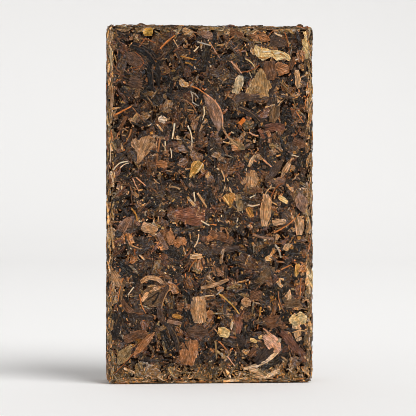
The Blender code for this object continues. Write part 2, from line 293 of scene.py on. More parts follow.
def dustMatter(name, look):
    # The fine dark matter between the pieces, specked with rust and tan, and darkened further as painted
    # shade in the gaps
    material, tree, shader = newMatter(name, look["roughness"], look["specular"])
    place = addNode(tree, "ShaderNodeTexCoord").outputs["Object"]
    coarse = addNoise(tree, place, look["coarse"], 5.0, 0.7)
    fine = addNoise(tree, place, look["fine"], 2.0, 0.6)
    both = addMath(tree, "ADD", addMath(tree, "MULTIPLY", coarse, look["coarsePart"]),
                   addMath(tree, "MULTIPLY", fine, 1 - look["coarsePart"]))
    dustAndGapShade = addVector(tree, "SCALE", addRamp(tree, both, look["stops"]), look["dustAndGapShade"])
    tree.links.new(dustAndGapShade, shader.inputs["Base Color"])
    addBump(tree, shader, look["bump"], look["bumpSize"], fine)
    return material


leafLook = {
    "stretch": (0.45, 1.7, 1.0), "streakScale": 1.5, "mottleScale": 1.6, "cloudScale": 0.35, "hueScale": 0.8,
    "creaseScale": 0.7, "creaseNarrow": 16.0, "glintScale": 0.9, "glintNarrow": 22.0,
    "streak": 3.4, "mottle": 3.2, "cloud": 0.8, "fold": 0.7, "glint": 0.5, "shine": 0.2, "vein": 0.4,
    "rim": 0.25, "veinWay": (0.12, 0.9), "veinWander": 1.6, "ribs": 1.2, "ribWander": 0.6, "ribbedFrom": 0.6,
    "darkest": 0.16, "lightest": 2.6, "paleCalm": 0.5, "hollowShade": 0.3, "sheen": 0.38,
    "cool": (0.84, 0.95, 1.16), "warm": (1.2, 0.94, 0.54),
    "roughness": 0.5, "specular": 0.16, "bump": 1.0, "bumpSize": 0.35 * mm,
}
broadLook = dict(
    leafLook, streak=2.2, mottle=1.9, fold=0.65, glint=0.6, shine=0.1, darkest=0.2, stretch=(0.3, 2.2, 1.0),
    veinWay=(0.55, -0.45), veinWander=0.45, rim=0.4, cloud=1.6, creaseScale=0.5, hueScale=0.5,
    cool=(0.92, 0.97, 1.1), warm=(1.12, 0.95, 0.76), ribs=1.5, sheen=0.18, paleCalm=0.75)
stemLook = dict(
    leafLook, stretch=(0.35, 3.0, 3.0), streakScale=0.9, mottleScale=0.6, cloudScale=0.4, hueScale=0.5,
    creaseScale=0.6, creaseNarrow=12.0, glintScale=0.6, glintNarrow=14.0, streak=1.6, mottle=2.2, cloud=0.9,
    fold=0.35, glint=0.2, shine=0.02, vein=0.15, rim=0.3, veinWay=(0.0, 2.0), veinWander=0.4, darkest=0.25,
    lightest=1.6, paleCalm=0.6, hollowShade=0.35, sheen=0.2, cool=(0.94, 0.98, 1.05), warm=(1.1, 0.95, 0.76),
    specular=0.2, bump=0.6, bumpSize=0.2 * mm)
dustLook = {
    # dustAndGapShade darkens the dust as painted shade in the gaps
    "coarse": 300.0, "fine": 1300.0, "coarsePart": 0.4, "dustAndGapShade": 0.35, "roughness": 0.9, "specular": 0.05,
    "bump": 0.8, "bumpSize": 0.4 * mm,
    "stops": [("black", 0.42), ("charcoal", 0.52), ("umber", 0.58), ("russet", 0.64), ("wheat", 0.72)],
}
leafFinish = teaMatter("driedLeaf", leafLook)
broadFinish = teaMatter("broadLeaf", broadLook)
stemFinish = teaMatter("driedStem", stemLook)
dustFinish = dustMatter("teaDust", dustLook)


# Outlines of leaf bits from base to tip: how far each side of the midrib reaches, as shares of the width
leafForms = {
    "blade": ((0.10, 0.10), (0.36, 0.34), (0.48, 0.50), (0.50, 0.46), (0.36, 0.32), (0.08, 0.08)),
    "broken": ((0.30, 0.42), (0.50, 0.44), (0.42, 0.54), (0.52, 0.40), (0.36, 0.24)),
    "shard": ((0.12, 0.30), (0.42, 0.50), (0.56, 0.36), (0.34, 0.44), (0.14, 0.10)),
    "strip": ((0.34, 0.38), (0.46, 0.50), (0.52, 0.44), (0.44, 0.50), (0.30, 0.34)),
    "oval": ((0.16, 0.18), (0.44, 0.46), (0.54, 0.52), (0.46, 0.44), (0.18, 0.16)),
    "wedge": ((0.06, 0.08), (0.18, 0.20), (0.34, 0.30), (0.50, 0.46), (0.62, 0.50), (0.40, 0.10)),
    "fan": ((0.04, 0.04), (0.14, 0.16), (0.24, 0.30), (0.36, 0.38), (0.44, 0.42), (0.50, 0.48), (0.46, 0.44)),
    "crinkled": ((0.30, 0.30), (0.62, 0.50), (0.50, 0.46), (0.26, 0.30), (0.30, 0.36), (0.56, 0.50),
                 (0.40, 0.34), (0.16, 0.12)),
    "heart": ((0.14, 0.26), (0.40, 0.50), (0.54, 0.52), (0.52, 0.44), (0.40, 0.36), (0.26, 0.24),
              (0.10, 0.08)),
    "rounded": ((0.26, 0.20), (0.48, 0.42), (0.50, 0.48), (0.42, 0.56), (0.46, 0.52), (0.42, 0.40),
                (0.18, 0.14)),
    "lobed": ((0.10, 0.10), (0.42, 0.36), (0.56, 0.50), (0.34, 0.40), (0.50, 0.54), (0.40, 0.38),
              (0.10, 0.12)),
}


# How the outline is torn, by noises, and how the surface is pleated
tearing = {
    "scale": 1.6, "perWidth": 0.6,  # wider pieces tear in larger steps
    "sideShift": 5, "fineScale": 2.7, "fineShare": 0.6, "slipShare": 0.45, "slipScale": 3, "slipShift": 9,
    "crumpleShift": 3, "pleatScale": 4.5, "pleatSlant": 0.8,
}


def formAt(form, t):
    # Both reaches of an outline at a share of its length
    reaches = leafForms[form]
    along = t * (len(reaches) - 1)
    index = min(int(along), len(reaches) - 2)
    part = along - index
    return [a + (b - a) * part for a, b in zip(reaches[index], reaches[index + 1])]


def leafShape(draw, look, length, width):
    # A leaf bit in millimetres, x along and y across: a crumpled upper face with a torn outline, closed
    # below to one point. Gives points, faces and rim shares
    steps, columns = look["steps"], look["columns"]
    form = draw.choice(look["forms"])
    bend = length * draw.uniform(-1, 1) * look["bend"]
    fold = draw.uniform(-1, 1) * look["fold"]
    twist = draw.uniform(-1, 1) * look["twist"]
    curl = draw.uniform(-0.5, 1) * look["curl"]
    seedSpot = Vector([draw.uniform(0, 90) for _ in range(3)])
    tornScale = tearing["scale"] / max(1.0, width * tearing["perWidth"])
    points, rims = [], []
    for k in range(steps + 1):
        t = k / steps
        reaches = formAt(form, t)
        for j in range(columns + 1):
            s = 2 * j / columns - 1
            onRim = k in (0, steps) or j in (0, columns)
            spot = seedSpot + Vector((t * length * tornScale, tearing["sideShift"] * (s > 0), 0))
            fine = noise.noise(spot * tearing["fineScale"])
            torn = 1 + look["ragged"] * (noise.noise(spot) + tearing["fineShare"] * fine)
            spot = Vector((t * tearing["slipScale"], s * width * tornScale, tearing["slipShift"]))
            slip = noise.noise(seedSpot + spot)
            y = s * width * reaches[s > 0] * torn
            x = length * (t - 0.5) + look["ragged"] * tearing["slipShare"] * width * slip
            spot = Vector((x, y, tearing["crumpleShift"]))
            crumple = noise.noise(seedSpot + spot * look["crumpleScale"])
            pleat = math.sin((x - tearing["pleatSlant"] * abs(y)) * tearing["pleatScale"])
            z = look["crown"] * (1 - s * s) + fold * abs(s) + twist * s * (t - 0.5) * 2
            z += curl * (2 * t - 1) ** 2
            z += look["crumple"] * crumple + look["pleat"] * pleat * abs(s)
            z -= look["rimDrop"] * onRim + look["droop"] * (2 * t - 1) ** 2
            points.append((x, y + bend * 4 * t * (1 - t), z))
            rims.append(1.0 if onRim else 0.0)
    row = columns + 1
    faces = [(k * row + j, (k + 1) * row + j, (k + 1) * row + j + 1, k * row + j + 1)
             for k in range(steps) for j in range(columns)]
    around = list(range(columns)) + [k * row + columns for k in range(steps)]
    around += [steps * row + j for j in range(columns, 0, -1)] + [k * row for k in range(steps, 0, -1)]
    points.append((0, bend, -look["keel"]))
    rims.append(1.0)
    faces += [(a, b, len(points) - 1) for a, b in zip(around, around[1:] + around[:1])]
    return points, faces, rims


def rodShape(draw, look, length, width):
    # A stem in millimetres: a rod of a few sides, bowed, kinked and uneven, closed at both ends
    steps, sides = look["steps"], look["sides"]
    radius = width / 2
    bend = length * draw.uniform(-1, 1) * look["bend"]
    kinks = [draw.uniform(-1, 1) * look["kink"] * length / steps for _ in range(steps + 1)]
    points, rims, faces = [], [], []
    for k in range(steps + 1):
        t = k / steps
        size = radius * (1 - look["thin"] * t) * draw.uniform(0.8, 1.12)
        slope = bend * 4 * (1 - 2 * t) / length
        for s in range(sides):
            angle = 2 * math.pi * s / sides + 0.4
            y = bend * 4 * t * (1 - t) + kinks[k] + size * math.sin(angle)
            x = length * (t - 0.5) - size * math.sin(angle) * slope
            points.append((x, y, size * math.cos(angle) * look["flat"] - look["dip"] * (2 * t - 1) ** 4))
            rims.append(1.0 if k in (0, steps) else 0.0)
    for k in range(steps):
        for s in range(sides):
            a, b, after = k * sides, (k + 1) * sides, (s + 1) % sides
            faces.append((a + s, b + s, b + after, a + after))
    faces.append(tuple(range(sides)))
    faces.append(tuple(steps * sides + s for s in reversed(range(sides))))
    return points, faces, rims


def closedMesh(name, points, faces, smoothAngle):
    # Triangles that all face outwards, smooth but for the sharper edges
    mesh = bpy.data.meshes.new(name)
    mesh.from_pydata(points, [], faces)
    solid = bmesh.new()
    solid.from_mesh(mesh)
    bmesh.ops.recalc_face_normals(solid, faces=solid.faces)
    bmesh.ops.triangulate(solid, faces=solid.faces)
    solid.to_mesh(mesh)
    solid.free()
    mesh.shade_smooth()
    mesh.set_sharp_from_angle(angle=math.radians(smoothAngle))
    return mesh


def keepOnPoints(mesh, label, kind, values):
    # One number, place or colour for each point
    column = {"FLOAT": "value", "FLOAT_VECTOR": "vector", "FLOAT_COLOR": "color"}[kind]
    flat = values if kind == "FLOAT" else [c for value in values for c in value]
    mesh.attributes.new(label, kind, "POINT").data.foreach_set(column, flat)


def shapeMesh(name, shape, smoothAngle):
    # A mesh of one piece: its place on the piece, its height and its rim are kept on its points, which
    # then lie flat, because the press gives them their height
    points, faces, rims = shape
    mesh = closedMesh(name, [Vector(p) * mm for p in points], faces, smoothAngle)
    mesh.vertices.foreach_set("co", [c for p in points for c in (p[0] * mm, p[1] * mm, 0.0)])
    keepOnPoints(mesh, "grain", "FLOAT_VECTOR", points)
    keepOnPoints(mesh, "rise", "FLOAT", [p[2] * mm for p in points])
    keepOnPoints(mesh, "rim", "FLOAT", rims)
    return mesh


kitSpread = {"length": (0.75, 1.25), "width": (0.7, 1.3)}


def shapeKit(name, maker, look):
    # A collection of differing shapes of one kind, to be scattered
    draw = random.Random(look["seed"])
    kit = bpy.data.collections.new(name)
    bpy.context.scene.collection.children.link(kit)
    for index in range(look["shapes"]):
        length = look["length"] * draw.uniform(*kitSpread["length"])
        width = look["width"] * draw.uniform(*kitSpread["width"])
        shape = maker(draw, look, length, width)
        mesh = shapeMesh(f"{name}{index}", shape, look["smoothAngle"])
        kit.objects.link(bpy.data.objects.new(f"{name}{index}", mesh))
    return kit


def stations(half, inner, step, edgeSteps):
    # Grid lines across one direction: over the two bevels, and evenly between them
    steps = max(1, math.floor(2 * inner / step + 0.5))
    middle = [-inner + 2 * inner * k / steps for k in range(steps + 1)]
    edge = [inner + (half - inner) * k / edgeSteps for k in range(1, edgeSteps + 1)]
    return [-e for e in reversed(edge)] + middle + edge


def bevelledGrid(name, step, edgeSteps, heightAt):
    # The block's surface as one closed grid, each point at heightAt(point) over it
    lines = [stations(halfSize[k], innerHalf[k], step, edgeSteps) for k in range(3)]
    last = [len(line) - 1 for line in lines]
    known, points, faces = {}, [], []

    def corner(key):
        if key not in known:
            place = blockMiddle + Vector([lines[k][key[k]] for k in range(3)])
            known[key] = len(points)
            points.append(pressedPoint(place, heightAt(place)))
        return known[key]

    for axis in range(3):
        first, second = (axis + 1) % 3, (axis + 2) % 3
        for end in (0, last[axis]):
            for i in range(last[first]):
                for j in range(last[second]):
                    quad = []
                    for a, b in ((i, j), (i + 1, j), (i + 1, j + 1), (i, j + 1)):
                        key = [0, 0, 0]
                        key[axis], key[first], key[second] = end, a, b
                        quad.append(corner(tuple(key)))
                    faces.append(quad if end else quad[::-1])
    mesh = bpy.data.meshes.new(name)
    mesh.from_pydata(points, [], faces)
    return mesh


# The hull's grid, its zones, and how straight pieces are combed there: 0 is at random, 1 along the edge
combing = {
    "step": 2.2 * mm, "edgeSteps": 4,
    "edgeFrom": 0.15 * mm,  # an edge is where a point is this far past the inner block in two directions
    "sideFrom": 0.5 * mm,  # a side is what lies this near its plane
    "footTop": 8 * mm, "footFade": 2 * mm,
    "edges": 0.94, "narrowSides": 0.75, "broadSides": 0.0,
    "least": 0.1,  # pieces are lined up only where the combing is more than this
    "swing": 0.1,  # fully combed pieces still turn by this angle
}


def combedHull():
    # The smooth surface that pieces are scattered on, with the way the press combs them near its edges
    mesh = bevelledGrid("pressedHull", combing["step"], combing["edgeSteps"], lambda place: 0.0)
    zones = {"edgeZone": [], "footZone": [], "frontZone": [], "combed": []}
    ways = []
    for vertex in mesh.vertices:
        local = vertex.co - blockMiddle
        over = [abs(local[k]) - innerHalf[k] for k in range(3)]
        edge = 1.0 if sum(gap > combing["edgeFrom"] for gap in over) > 1 else 0.0
        onSide = [abs(local[k]) > halfSize[k] - combing["sideFrom"] for k in range(3)]
        way = [0.0, 0.0, 0.0]
        way[min(range(3), key=lambda k: over[k])] = 1.0
        if not edge and not onSide[1]:
            way = [0.0, 0.0, 1.0] if onSide[0] else [1.0, 0.0, 0.0]
        footShare = clamp((combing["footTop"] - vertex.co.z) / combing["footFade"], 0, 1)
        zones["edgeZone"].append(edge)
        zones["footZone"].append(footShare * (1 - edge))
        zones["frontZone"].append(1.0 if onSide[1] and local.y < 0 and not edge else 0.0)
        zones["combed"].append(combing["edges" if edge else ("broadSides" if onSide[1] else "narrowSides")])
        ways.append(way)
    for label, column in zones.items():
        keepOnPoints(mesh, label, "FLOAT", column)
    keepOnPoints(mesh, "combing", "FLOAT_VECTOR", ways)
    return mesh


# Where the scattered pieces lie darker or lighter: distance right of the middle, height and reach in
# millimetres, and the share of light there
tonePatches = {
    "blackUpperLeft": (-23, 119, 20, 0.38),
    "darkTopLeft": (-18, 141, 14, 0.42),
    "darkRight": (31, 103, 10, 0.64),
    "darkLeftKnot": (-27, 43, 12, 0.5),
    "darkUnderHook": (-16, 37, 9, 0.66),
    "darkBesideBand": (-14, 22, 10, 0.55),
    "darkFootLeft": (-32, 10, 11, 0.56),
    "darkFootRight": (31, 9, 8, 0.78),
    "darkMiddleRight": (12, 52, 15, 0.6),
    "darkLeftUpper": (-31, 103, 9, 0.74),
    "paleRightUpper": (33, 119, 8, 1.35),
    "paleRightMiddle": (33, 84, 9, 1.35),
    "paleLeftUpper": (-33, 89, 7, 1.4),
    "paleLeftMiddle": (-19, 55, 11, 1.6),
    "paleMiddle": (-1, 72, 14, 1.5),
    "paleRight": (31, 50, 11, 1.7),
    "paleFarRight": (34, 24, 11, 1.5),
    "paleFarLeft": (-36, 64, 10, 1.5),
    "paleFootMiddle": (-5, 24, 11, 1.5),
}
# Painted light and shade towards the rims: the top and right rims painted darker and the left one painted
# lighter against the sun's slant, the foot lighter and the band above it darker. Axis, where it begins, where
# it ends, share of light
rimShadingAndTone = {
    "top": ("Z", 146 * mm, 148.5 * mm, 0.64), "right": ("X", 40.5 * mm, 42.5 * mm, 0.8),
    "left": ("X", -40.5 * mm, -42.5 * mm, 1.24), "foot": ("Z", 4 * mm, 1 * mm, 1.5),
    "aboveFoot": ("Z", 9 * mm, 6 * mm, 0.86),
}


def readLabel(tree, label, kind="FLOAT"):
    return addNode(tree, "GeometryNodeInputNamedAttribute", {"data_type": kind}, {"Name": label}).outputs[0]


def keepLabel(tree, geometry, label, value, kind="FLOAT"):
    return addNode(tree, "GeometryNodeStoreNamedAttribute", {"data_type": kind, "domain": "POINT"},
                   {"Geometry": geometry, "Name": label, "Value": value}).outputs[0]


# Each kind of choice shifts the seed, so that they don't go together
seedShifts = {
    "size": 1.0, "depth": 2.0, "pick": 3.0, "light": 4.0, "tiltAlong": 5.0, "tiltAcross": 6.0, "spin": 7.0,
    "shape": 8.0,
}


def addChance(tree, seed, choice, low, high):
    # A number drawn for each piece, between two others
    shifted = addMath(tree, "ADD", seed, seedShifts[choice])
    return addNode(tree, "FunctionNodeRandomValue", {"data_type": "FLOAT"},
                   {2: low, 3: high, "Seed": shifted}).outputs[1]


def addShare(tree, zone, share):
    # 1 outside a zone, and the share inside it
    more = addMath(tree, "SUBTRACT", share, 1.0) if isinstance(share, bpy.types.NodeSocket) else share - 1.0
    return addMath(tree, "MULTIPLY_ADD", zone, more, 1.0)


def addPowerSum(tree, first, second, power):
    both = addMath(tree, "ADD", addMath(tree, "POWER", first, power), addMath(tree, "POWER", second, power))
    return addMath(tree, "POWER", both, 1 / power)


def scatterTint(tree, look, chance, pick, depth):
    # A tint from the piece's list, drifting over the brick, and its light: painted shade on deeper pieces,
    # then lighter or darker by edge, foot, patch and rim, the rims with painted light and shade
    calc = functools.partial(addMath, tree)
    place = tree.nodes.new("GeometryNodeInputPosition").outputs[0]
    edge, foot = readLabel(tree, "edgeZone"), readLabel(tree, "footZone")
    patch = calc("SUBTRACT", addNoise(tree, place, look["patchScale"], 1.0), 0.5)
    total = sum(part for _, part in look["tints"])
    stops, filled = [], 0.0
    for tint, part in look["tints"]:
        stops.append((tint, filled / total))
        filled += part
    drift = calc("ADD", pick, calc("MULTIPLY", patch, look["patch"]), limited=True)
    olive = calc("MULTIPLY", calc("MAXIMUM", edge, foot), look["edgeOlive"])
    colour = addMix(tree, olive, addRamp(tree, drift, stops, "CONSTANT"), linear("olive"))
    light, spread = look["light"], look["lightSpread"]
    light = calc("MULTIPLY", chance("light", light - spread, light + spread),
                 calc("MULTIPLY_ADD", depth, 1.0 - look["deepShade"], look["deepShade"]))
    shares = [addShare(tree, edge, look["edgeLight"]), addShare(tree, foot, look["footLight"])]
    for x, z, reach, share in tonePatches.values():
        gap = addVector(tree, "LENGTH", addVector(tree, "SUBTRACT", place, (x * mm, -halfSize.y, z * mm)))
        shares.append(addRange(tree, gap, 0.0, reach * mm, share, 1.0, "SMOOTHSTEP"))
    axes = addParts(tree, place)
    for axis, begin, end, share in rimShadingAndTone.values():
        shares.append(addRange(tree, axes[axis], begin, end, 1.0, share))
    for share in shares:
        light = calc("MULTIPLY", light, share)
    return addVector(tree, "SCALE", colour, light)


def scatterTurn(tree, chance, rotation):
    # Each piece turned at random, or combed along the nearest edge
    combed = readLabel(tree, "combed")
    lined = addNode(tree, "FunctionNodeAlignRotationToVector", {"axis": "X", "pivot_axis": "Z"}, {
        "Rotation": rotation, "Factor": addMath(tree, "GREATER_THAN", combed, combing["least"]),
        "Vector": readLabel(tree, "combing", "FLOAT_VECTOR")}).outputs[0]
    swing = addMath(tree, "MULTIPLY_ADD", combed, combing["swing"] - math.pi, math.pi)
    spin = addJoined(tree, {"Z": addMath(tree, "MULTIPLY", chance("spin", -1.0, 1.0), swing)})
    turn = addNode(tree, "FunctionNodeEulerToRotation", None, {"Euler": spin}).outputs[0]
    return addNode(tree, "FunctionNodeRotateRotation", {"rotation_space": "LOCAL"},
                   {"Rotation": lined, "Rotate By": turn}).outputs[0]


def scatterRise(tree):
    # How high each point lies: its own rise and its piece's slope, grown with the piece, on the piece's lift
    grain = addVector(tree, "SCALE", readLabel(tree, "grain", "FLOAT_VECTOR"), mm)
    slope = addVector(tree, "DOT_PRODUCT", readLabel(tree, "tilt", "FLOAT_VECTOR"), grain)
    rise = addMath(tree, "MULTIPLY_ADD", addMath(tree, "ADD", readLabel(tree, "rise"), slope),
                   readLabel(tree, "size"), readLabel(tree, "lift"))
    return addMath(tree, "MINIMUM", addMath(tree, "MAXIMUM", rise, deepest), highest)


def scatterPress(tree, rise):
    # Onto the bevelled block, as pressedPoint does it
    combine = functools.partial(addVector, tree)
    place = tree.nodes.new("GeometryNodeInputPosition").outputs[0]
    local = combine("SUBTRACT", place, tuple(blockMiddle))
    inner = combine("MAXIMUM", combine("MINIMUM", local, tuple(innerHalf)), tuple(-innerHalf))
    way = combine("DIVIDE", combine("SUBTRACT", local, inner), tuple(bevel))
    parts = addParts(tree, combine("ABSOLUTE", way))
    outline = addPowerSum(tree, parts["X"], parts["Z"], block["cornerPower"])
    reach = addPowerSum(tree, outline, parts["Y"], block["bevelPower"])
    way = combine("SCALE", way, addMath(tree, "DIVIDE", 1.0, addMath(tree, "MAXIMUM", reach, 0.001)))
    under = addMath(tree, "MAXIMUM", addMath(tree, "MULTIPLY", addParts(tree, way)["Z"], -1.0), 0.0)
    rise = addMath(tree, "SUBTRACT", rise, addMath(tree, "MULTIPLY", under, block["footSink"]))
    risen = combine("ADD", addJoined(tree, {"X": rise, "Y": rise, "Z": rise}), tuple(bevel))
    return combine("MULTIPLY_ADD", way, risen, combine("ADD", inner, tuple(blockMiddle)))


scatterInputs = {
    "Hull": "Geometry", "Kit": "Collection", "Pieces per cm2": "Float", "Edge share": "Float",
    "Foot share": "Float", "Front share": "Float", "Smallest": "Float", "Largest": "Float", "Lowest": "Float",
    "Highest": "Float", "Tilt": "Float", "Seed": "Int", "Finish": "Material",
}


def scatterTree(name, look):
    # Spreads a kit over the hull and presses every piece onto its bevelled surface
    tree = bpy.data.node_groups.new(name, "GeometryNodeTree")
    for label, kind in scatterInputs.items():
        tree.interface.new_socket(name=label, in_out="INPUT", socket_type="NodeSocket" + kind)
    tree.interface.new_socket(name="Pieces", in_out="OUTPUT", socket_type="NodeSocketGeometry")
    given = tree.nodes.new("NodeGroupInput").outputs
    calc, chance = functools.partial(addMath, tree), functools.partial(addChance, tree, given["Seed"])

    # where the pieces lie: thicker or thinner on the edges, at the foot and on the front
    density = calc("MULTIPLY", given["Pieces per cm2"], 1e4)  # per square metre
    for zone, share in (("edgeZone", "Edge share"), ("footZone", "Foot share"), ("frontZone", "Front share")):
        density = calc("MULTIPLY", density, addShare(tree, readLabel(tree, zone), given[share]))
    spread = addNode(tree, "GeometryNodeDistributePointsOnFaces", {"distribute_method": "RANDOM"},
                     {"Mesh": given["Hull"], "Density": density, "Seed": given["Seed"]}).outputs

    # what every piece carries with it: size, lift, pick, tint and tilt
    edge = readLabel(tree, "edgeZone")
    size = addRange(tree, calc("POWER", chance("size", 0.0, 1.0), look["smallBias"]), 0.0, 1.0,
                    given["Smallest"], given["Largest"])
    size = calc("MULTIPLY", size, addShare(tree, edge, look["edgeSize"]))
    depth, pick = chance("depth", 0.0, 1.0), chance("pick", 0.0, 1.0)
    lift = calc("MULTIPLY_ADD", depth, calc("SUBTRACT", given["Highest"], given["Lowest"]), given["Lowest"])
    lift = calc("MULTIPLY_ADD", edge, look["edgeLift"] * mm, lift)
    tilt = addJoined(tree, {
        axis: calc("MULTIPLY", chance(choice, -1.0, 1.0), given["Tilt"])
        for axis, choice in (("X", "tiltAlong"), ("Y", "tiltAcross"))})
    tint = scatterTint(tree, look, chance, pick, depth)
    points = spread["Points"]
    for label, value, kind in (("size", size, "FLOAT"), ("lift", lift, "FLOAT"), ("pick", pick, "FLOAT"),
                               ("tint", tint, "FLOAT_COLOR"), ("tilt", tilt, "FLOAT_VECTOR")):
        points = keepLabel(tree, points, label, value, kind)

    kit = addNode(tree, "GeometryNodeCollectionInfo", None, {
        "Collection": given["Kit"], "Separate Children": True, "Reset Children": True}).outputs[0]
    which = addNode(tree, "FunctionNodeRandomValue", {"data_type": "INT"}, {
        4: 0, 5: look["shapes"] - 1, "Seed": calc("ADD", given["Seed"], seedShifts["shape"])}).outputs[2]
    turn = scatterTurn(tree, chance, spread["Rotation"])
    placed = addNode(tree, "GeometryNodeInstanceOnPoints", None, {
        "Points": points, "Instance": kit, "Pick Instance": True, "Instance Index": which, "Rotation": turn,
        "Scale": readLabel(tree, "size")}).outputs[0]
    real = addNode(tree, "GeometryNodeRealizeInstances", None, {"Geometry": placed}).outputs[0]
    rise = scatterRise(tree)
    real = keepLabel(tree, real, "height", calc("DIVIDE", rise, mm))
    moved = addNode(tree, "GeometryNodeSetPosition", None, {
        "Geometry": real, "Position": scatterPress(tree, rise)}).outputs[0]
    done = addNode(tree, "GeometryNodeSetMaterial", None, {"Geometry": moved, "Material": given["Finish"]})
    tree.links.new(done.outputs[0], tree.nodes.new("NodeGroupOutput").inputs["Pieces"])
    return tree


def plainMesh(maker):
    # The evaluated object as a plain mesh, with only what its material reads
    mesh = bpy.data.meshes.new_from_object(maker.evaluated_get(bpy.context.evaluated_depsgraph_get()))
    for label in ("size", "lift", "tilt", "rise", "edgeZone", "footZone", "frontZone", "combed", "combing",
                  "id"):
        spare = mesh.attributes.get(label)
        if spare:
            mesh.attributes.remove(spare)
    return mesh


hull = combedHull()


def scatterPiece(name, maker, look, finish):
    kit = shapeKit(name + "Shape", maker, look)
    tree = scatterTree(name + "Tree", look)
    carrier = addObject(name, hull)
    spread = carrier.modifiers.new("scatter", "NODES")
    spread.node_group = tree
    values = {
        "Kit": kit, "Pieces per cm2": look["perCm2"], "Edge share": look["edgeShare"],
        "Foot share": look["footShare"], "Front share": look["frontShare"], "Smallest": look["smallest"],
        "Largest": look["largest"], "Lowest": look["lowest"] * mm, "Highest": look["highest"] * mm,
        "Tilt": look["tilt"], "Seed": look["seed"], "Finish": finish,
    }
    for socket in tree.interface.items_tree:
        if socket.name in values:
            spread[socket.identifier] = values[socket.name]
    mesh = plainMesh(carrier)
    carrier.modifiers.clear()
    carrier.data = mesh
    mesh.name = name
    for item in list(kit.objects):
        bpy.data.objects.remove(item, do_unlink=True)
    bpy.data.collections.remove(kit)
    bpy.data.node_groups.remove(tree)
    print(name, len(mesh.polygons), "triangles")
    return carrier


# Loose pieces: the shape's size in millimetres, its crumpling, how thickly and how high it lies, its tints
looseLeaf = {
    "shapes": 8, "forms": ["broken", "shard", "oval"], "bend": 0.08, "fold": 0.12, "twist": 0.15, "curl": 0.1,
    "crown": 0.1, "ragged": 0.34, "pleat": 0.0, "crumple": 0.15, "crumpleScale": 0.8, "rimDrop": 0.08,
    "keel": 0.5, "droop": 0.0, "smoothAngle": 32, "edgeShare": 0.6, "footShare": 0.7, "frontShare": 1.0,
    "smallBias": 1.3, "edgeSize": 0.8, "edgeLift": 0.2, "tilt": 0.07, "edgeOlive": 0.5, "edgeLight": 1.35,
    "footLight": 1.6, "light": 1.04, "lightSpread": 0.38, "deepShade": 0.8, "patchScale": 80.0, "patch": 0.5,
}
darkLeaves = dict(
    looseLeaf, seed=5, length=8.0, width=4.4, steps=7, columns=4, fold=0.25, crumple=0.5, crumpleScale=0.55,
    forms=["broken", "shard", "strip", "lobed"], perCm2=5.4, smallest=0.5, largest=1.3, lowest=-0.45,
    highest=0.12,
    tints=[("black", 30), ("charcoal", 34), ("slate", 22), ("umber", 8), ("maroon", 6)])
darkShreds = dict(
    looseLeaf, seed=11, length=6.0, width=1.3, steps=5, columns=2, forms=["strip", "blade"], bend=0.18,
    twist=0.25, crown=0.3, perCm2=9.0, smallest=0.5, largest=1.3, lowest=-0.25, highest=0.38,
    tints=[("black", 26), ("charcoal", 28), ("slate", 18), ("umber", 12), ("maroon", 8), ("bark", 8)])
brownFlakes = dict(
    looseLeaf, seed=23, length=4.2, width=3.0, steps=4, columns=3, crumple=0.22, perCm2=9.5, smallest=0.4,
    largest=1.3, smallBias=1.6, lowest=-0.3, highest=0.38, tilt=0.1,
    tints=[("charcoal", 17), ("slate", 12), ("umber", 20), ("maroon", 12), ("mauve", 8), ("bark", 8),
           ("russet", 12), ("tan", 8), ("ochre", 4), ("olive", 3), ("wheat", 4)])
crumbs = dict(
    looseLeaf, seed=37, length=1.35, width=0.8, steps=2, columns=2, ragged=0.6, keel=0.3, smoothAngle=25,
    perCm2=27.0, edgeShare=1.5, footShare=3.4, smallest=0.35, largest=1.3, lowest=-0.1, highest=0.5,
    tilt=0.15, edgeSize=0.9,
    tints=[("black", 22), ("charcoal", 10), ("umber", 12), ("maroon", 6), ("russet", 14), ("bark", 6),
           ("tan", 9), ("orange", 6), ("ochre", 6), ("gold", 4), ("wheat", 6), ("cream", 2), ("pale", 2)])
goldSpecks = dict(
    crumbs, seed=97, length=0.9, width=0.55, keel=0.25, perCm2=22.0, edgeShare=1.3, footShare=4.0,
    frontShare=0.9, smallest=0.4, lowest=0.05, highest=0.48, tilt=0.2, footLight=1.4,
    tints=[("black", 16), ("umber", 10), ("rust", 8), ("russet", 14), ("tan", 12), ("orange", 8),
           ("ochre", 12), ("gold", 6), ("wheat", 8), ("cream", 3), ("pale", 3)])
broadLeaves = dict(
    looseLeaf, seed=83, shapes=12, length=11.0, width=6.0, steps=12, columns=7, crumple=0.3, crumpleScale=0.5,
    forms=["broken", "blade", "lobed", "wedge", "fan", "oval", "strip"], pleat=0.05, perCm2=0.75,
    frontShare=0.0, edgeShare=0.1, footShare=0.5, smallest=0.55, largest=1.2, lowest=0.15, highest=0.45,
    tilt=0.03, smoothAngle=50,
    tints=[("charcoal", 14), ("slate", 14), ("umber", 12), ("maroon", 12), ("mauve", 12), ("bark", 8),
           ("tan", 14), ("russet", 6), ("olive", 6), ("gold", 4), ("straw", 3)])
stems = dict(
    looseLeaf, seed=51, length=4.4, width=0.5, steps=4, sides=5, bend=0.14, thin=0.35, kink=0.12, dip=0.2,
    flat=0.85, smoothAngle=60, perCm2=3.4, edgeShare=1.6, footShare=1.2, frontShare=0.8, smallest=0.4,
    largest=1.5, smallBias=1.6, lowest=-0.15, highest=0.45, tilt=0.08, edgeSize=1.0, edgeLift=0.15,
    edgeOlive=0.3, edgeLight=1.2, footLight=1.3, lightSpread=0.3, deepShade=0.45, patchScale=60.0, patch=0.3,
    tints=[("charcoal", 14), ("umber", 22), ("maroon", 12), ("rust", 16), ("orange", 5), ("russet", 14),
           ("tan", 8), ("wheat", 5), ("pink", 2), ("cream", 2), ("pale", 1)])
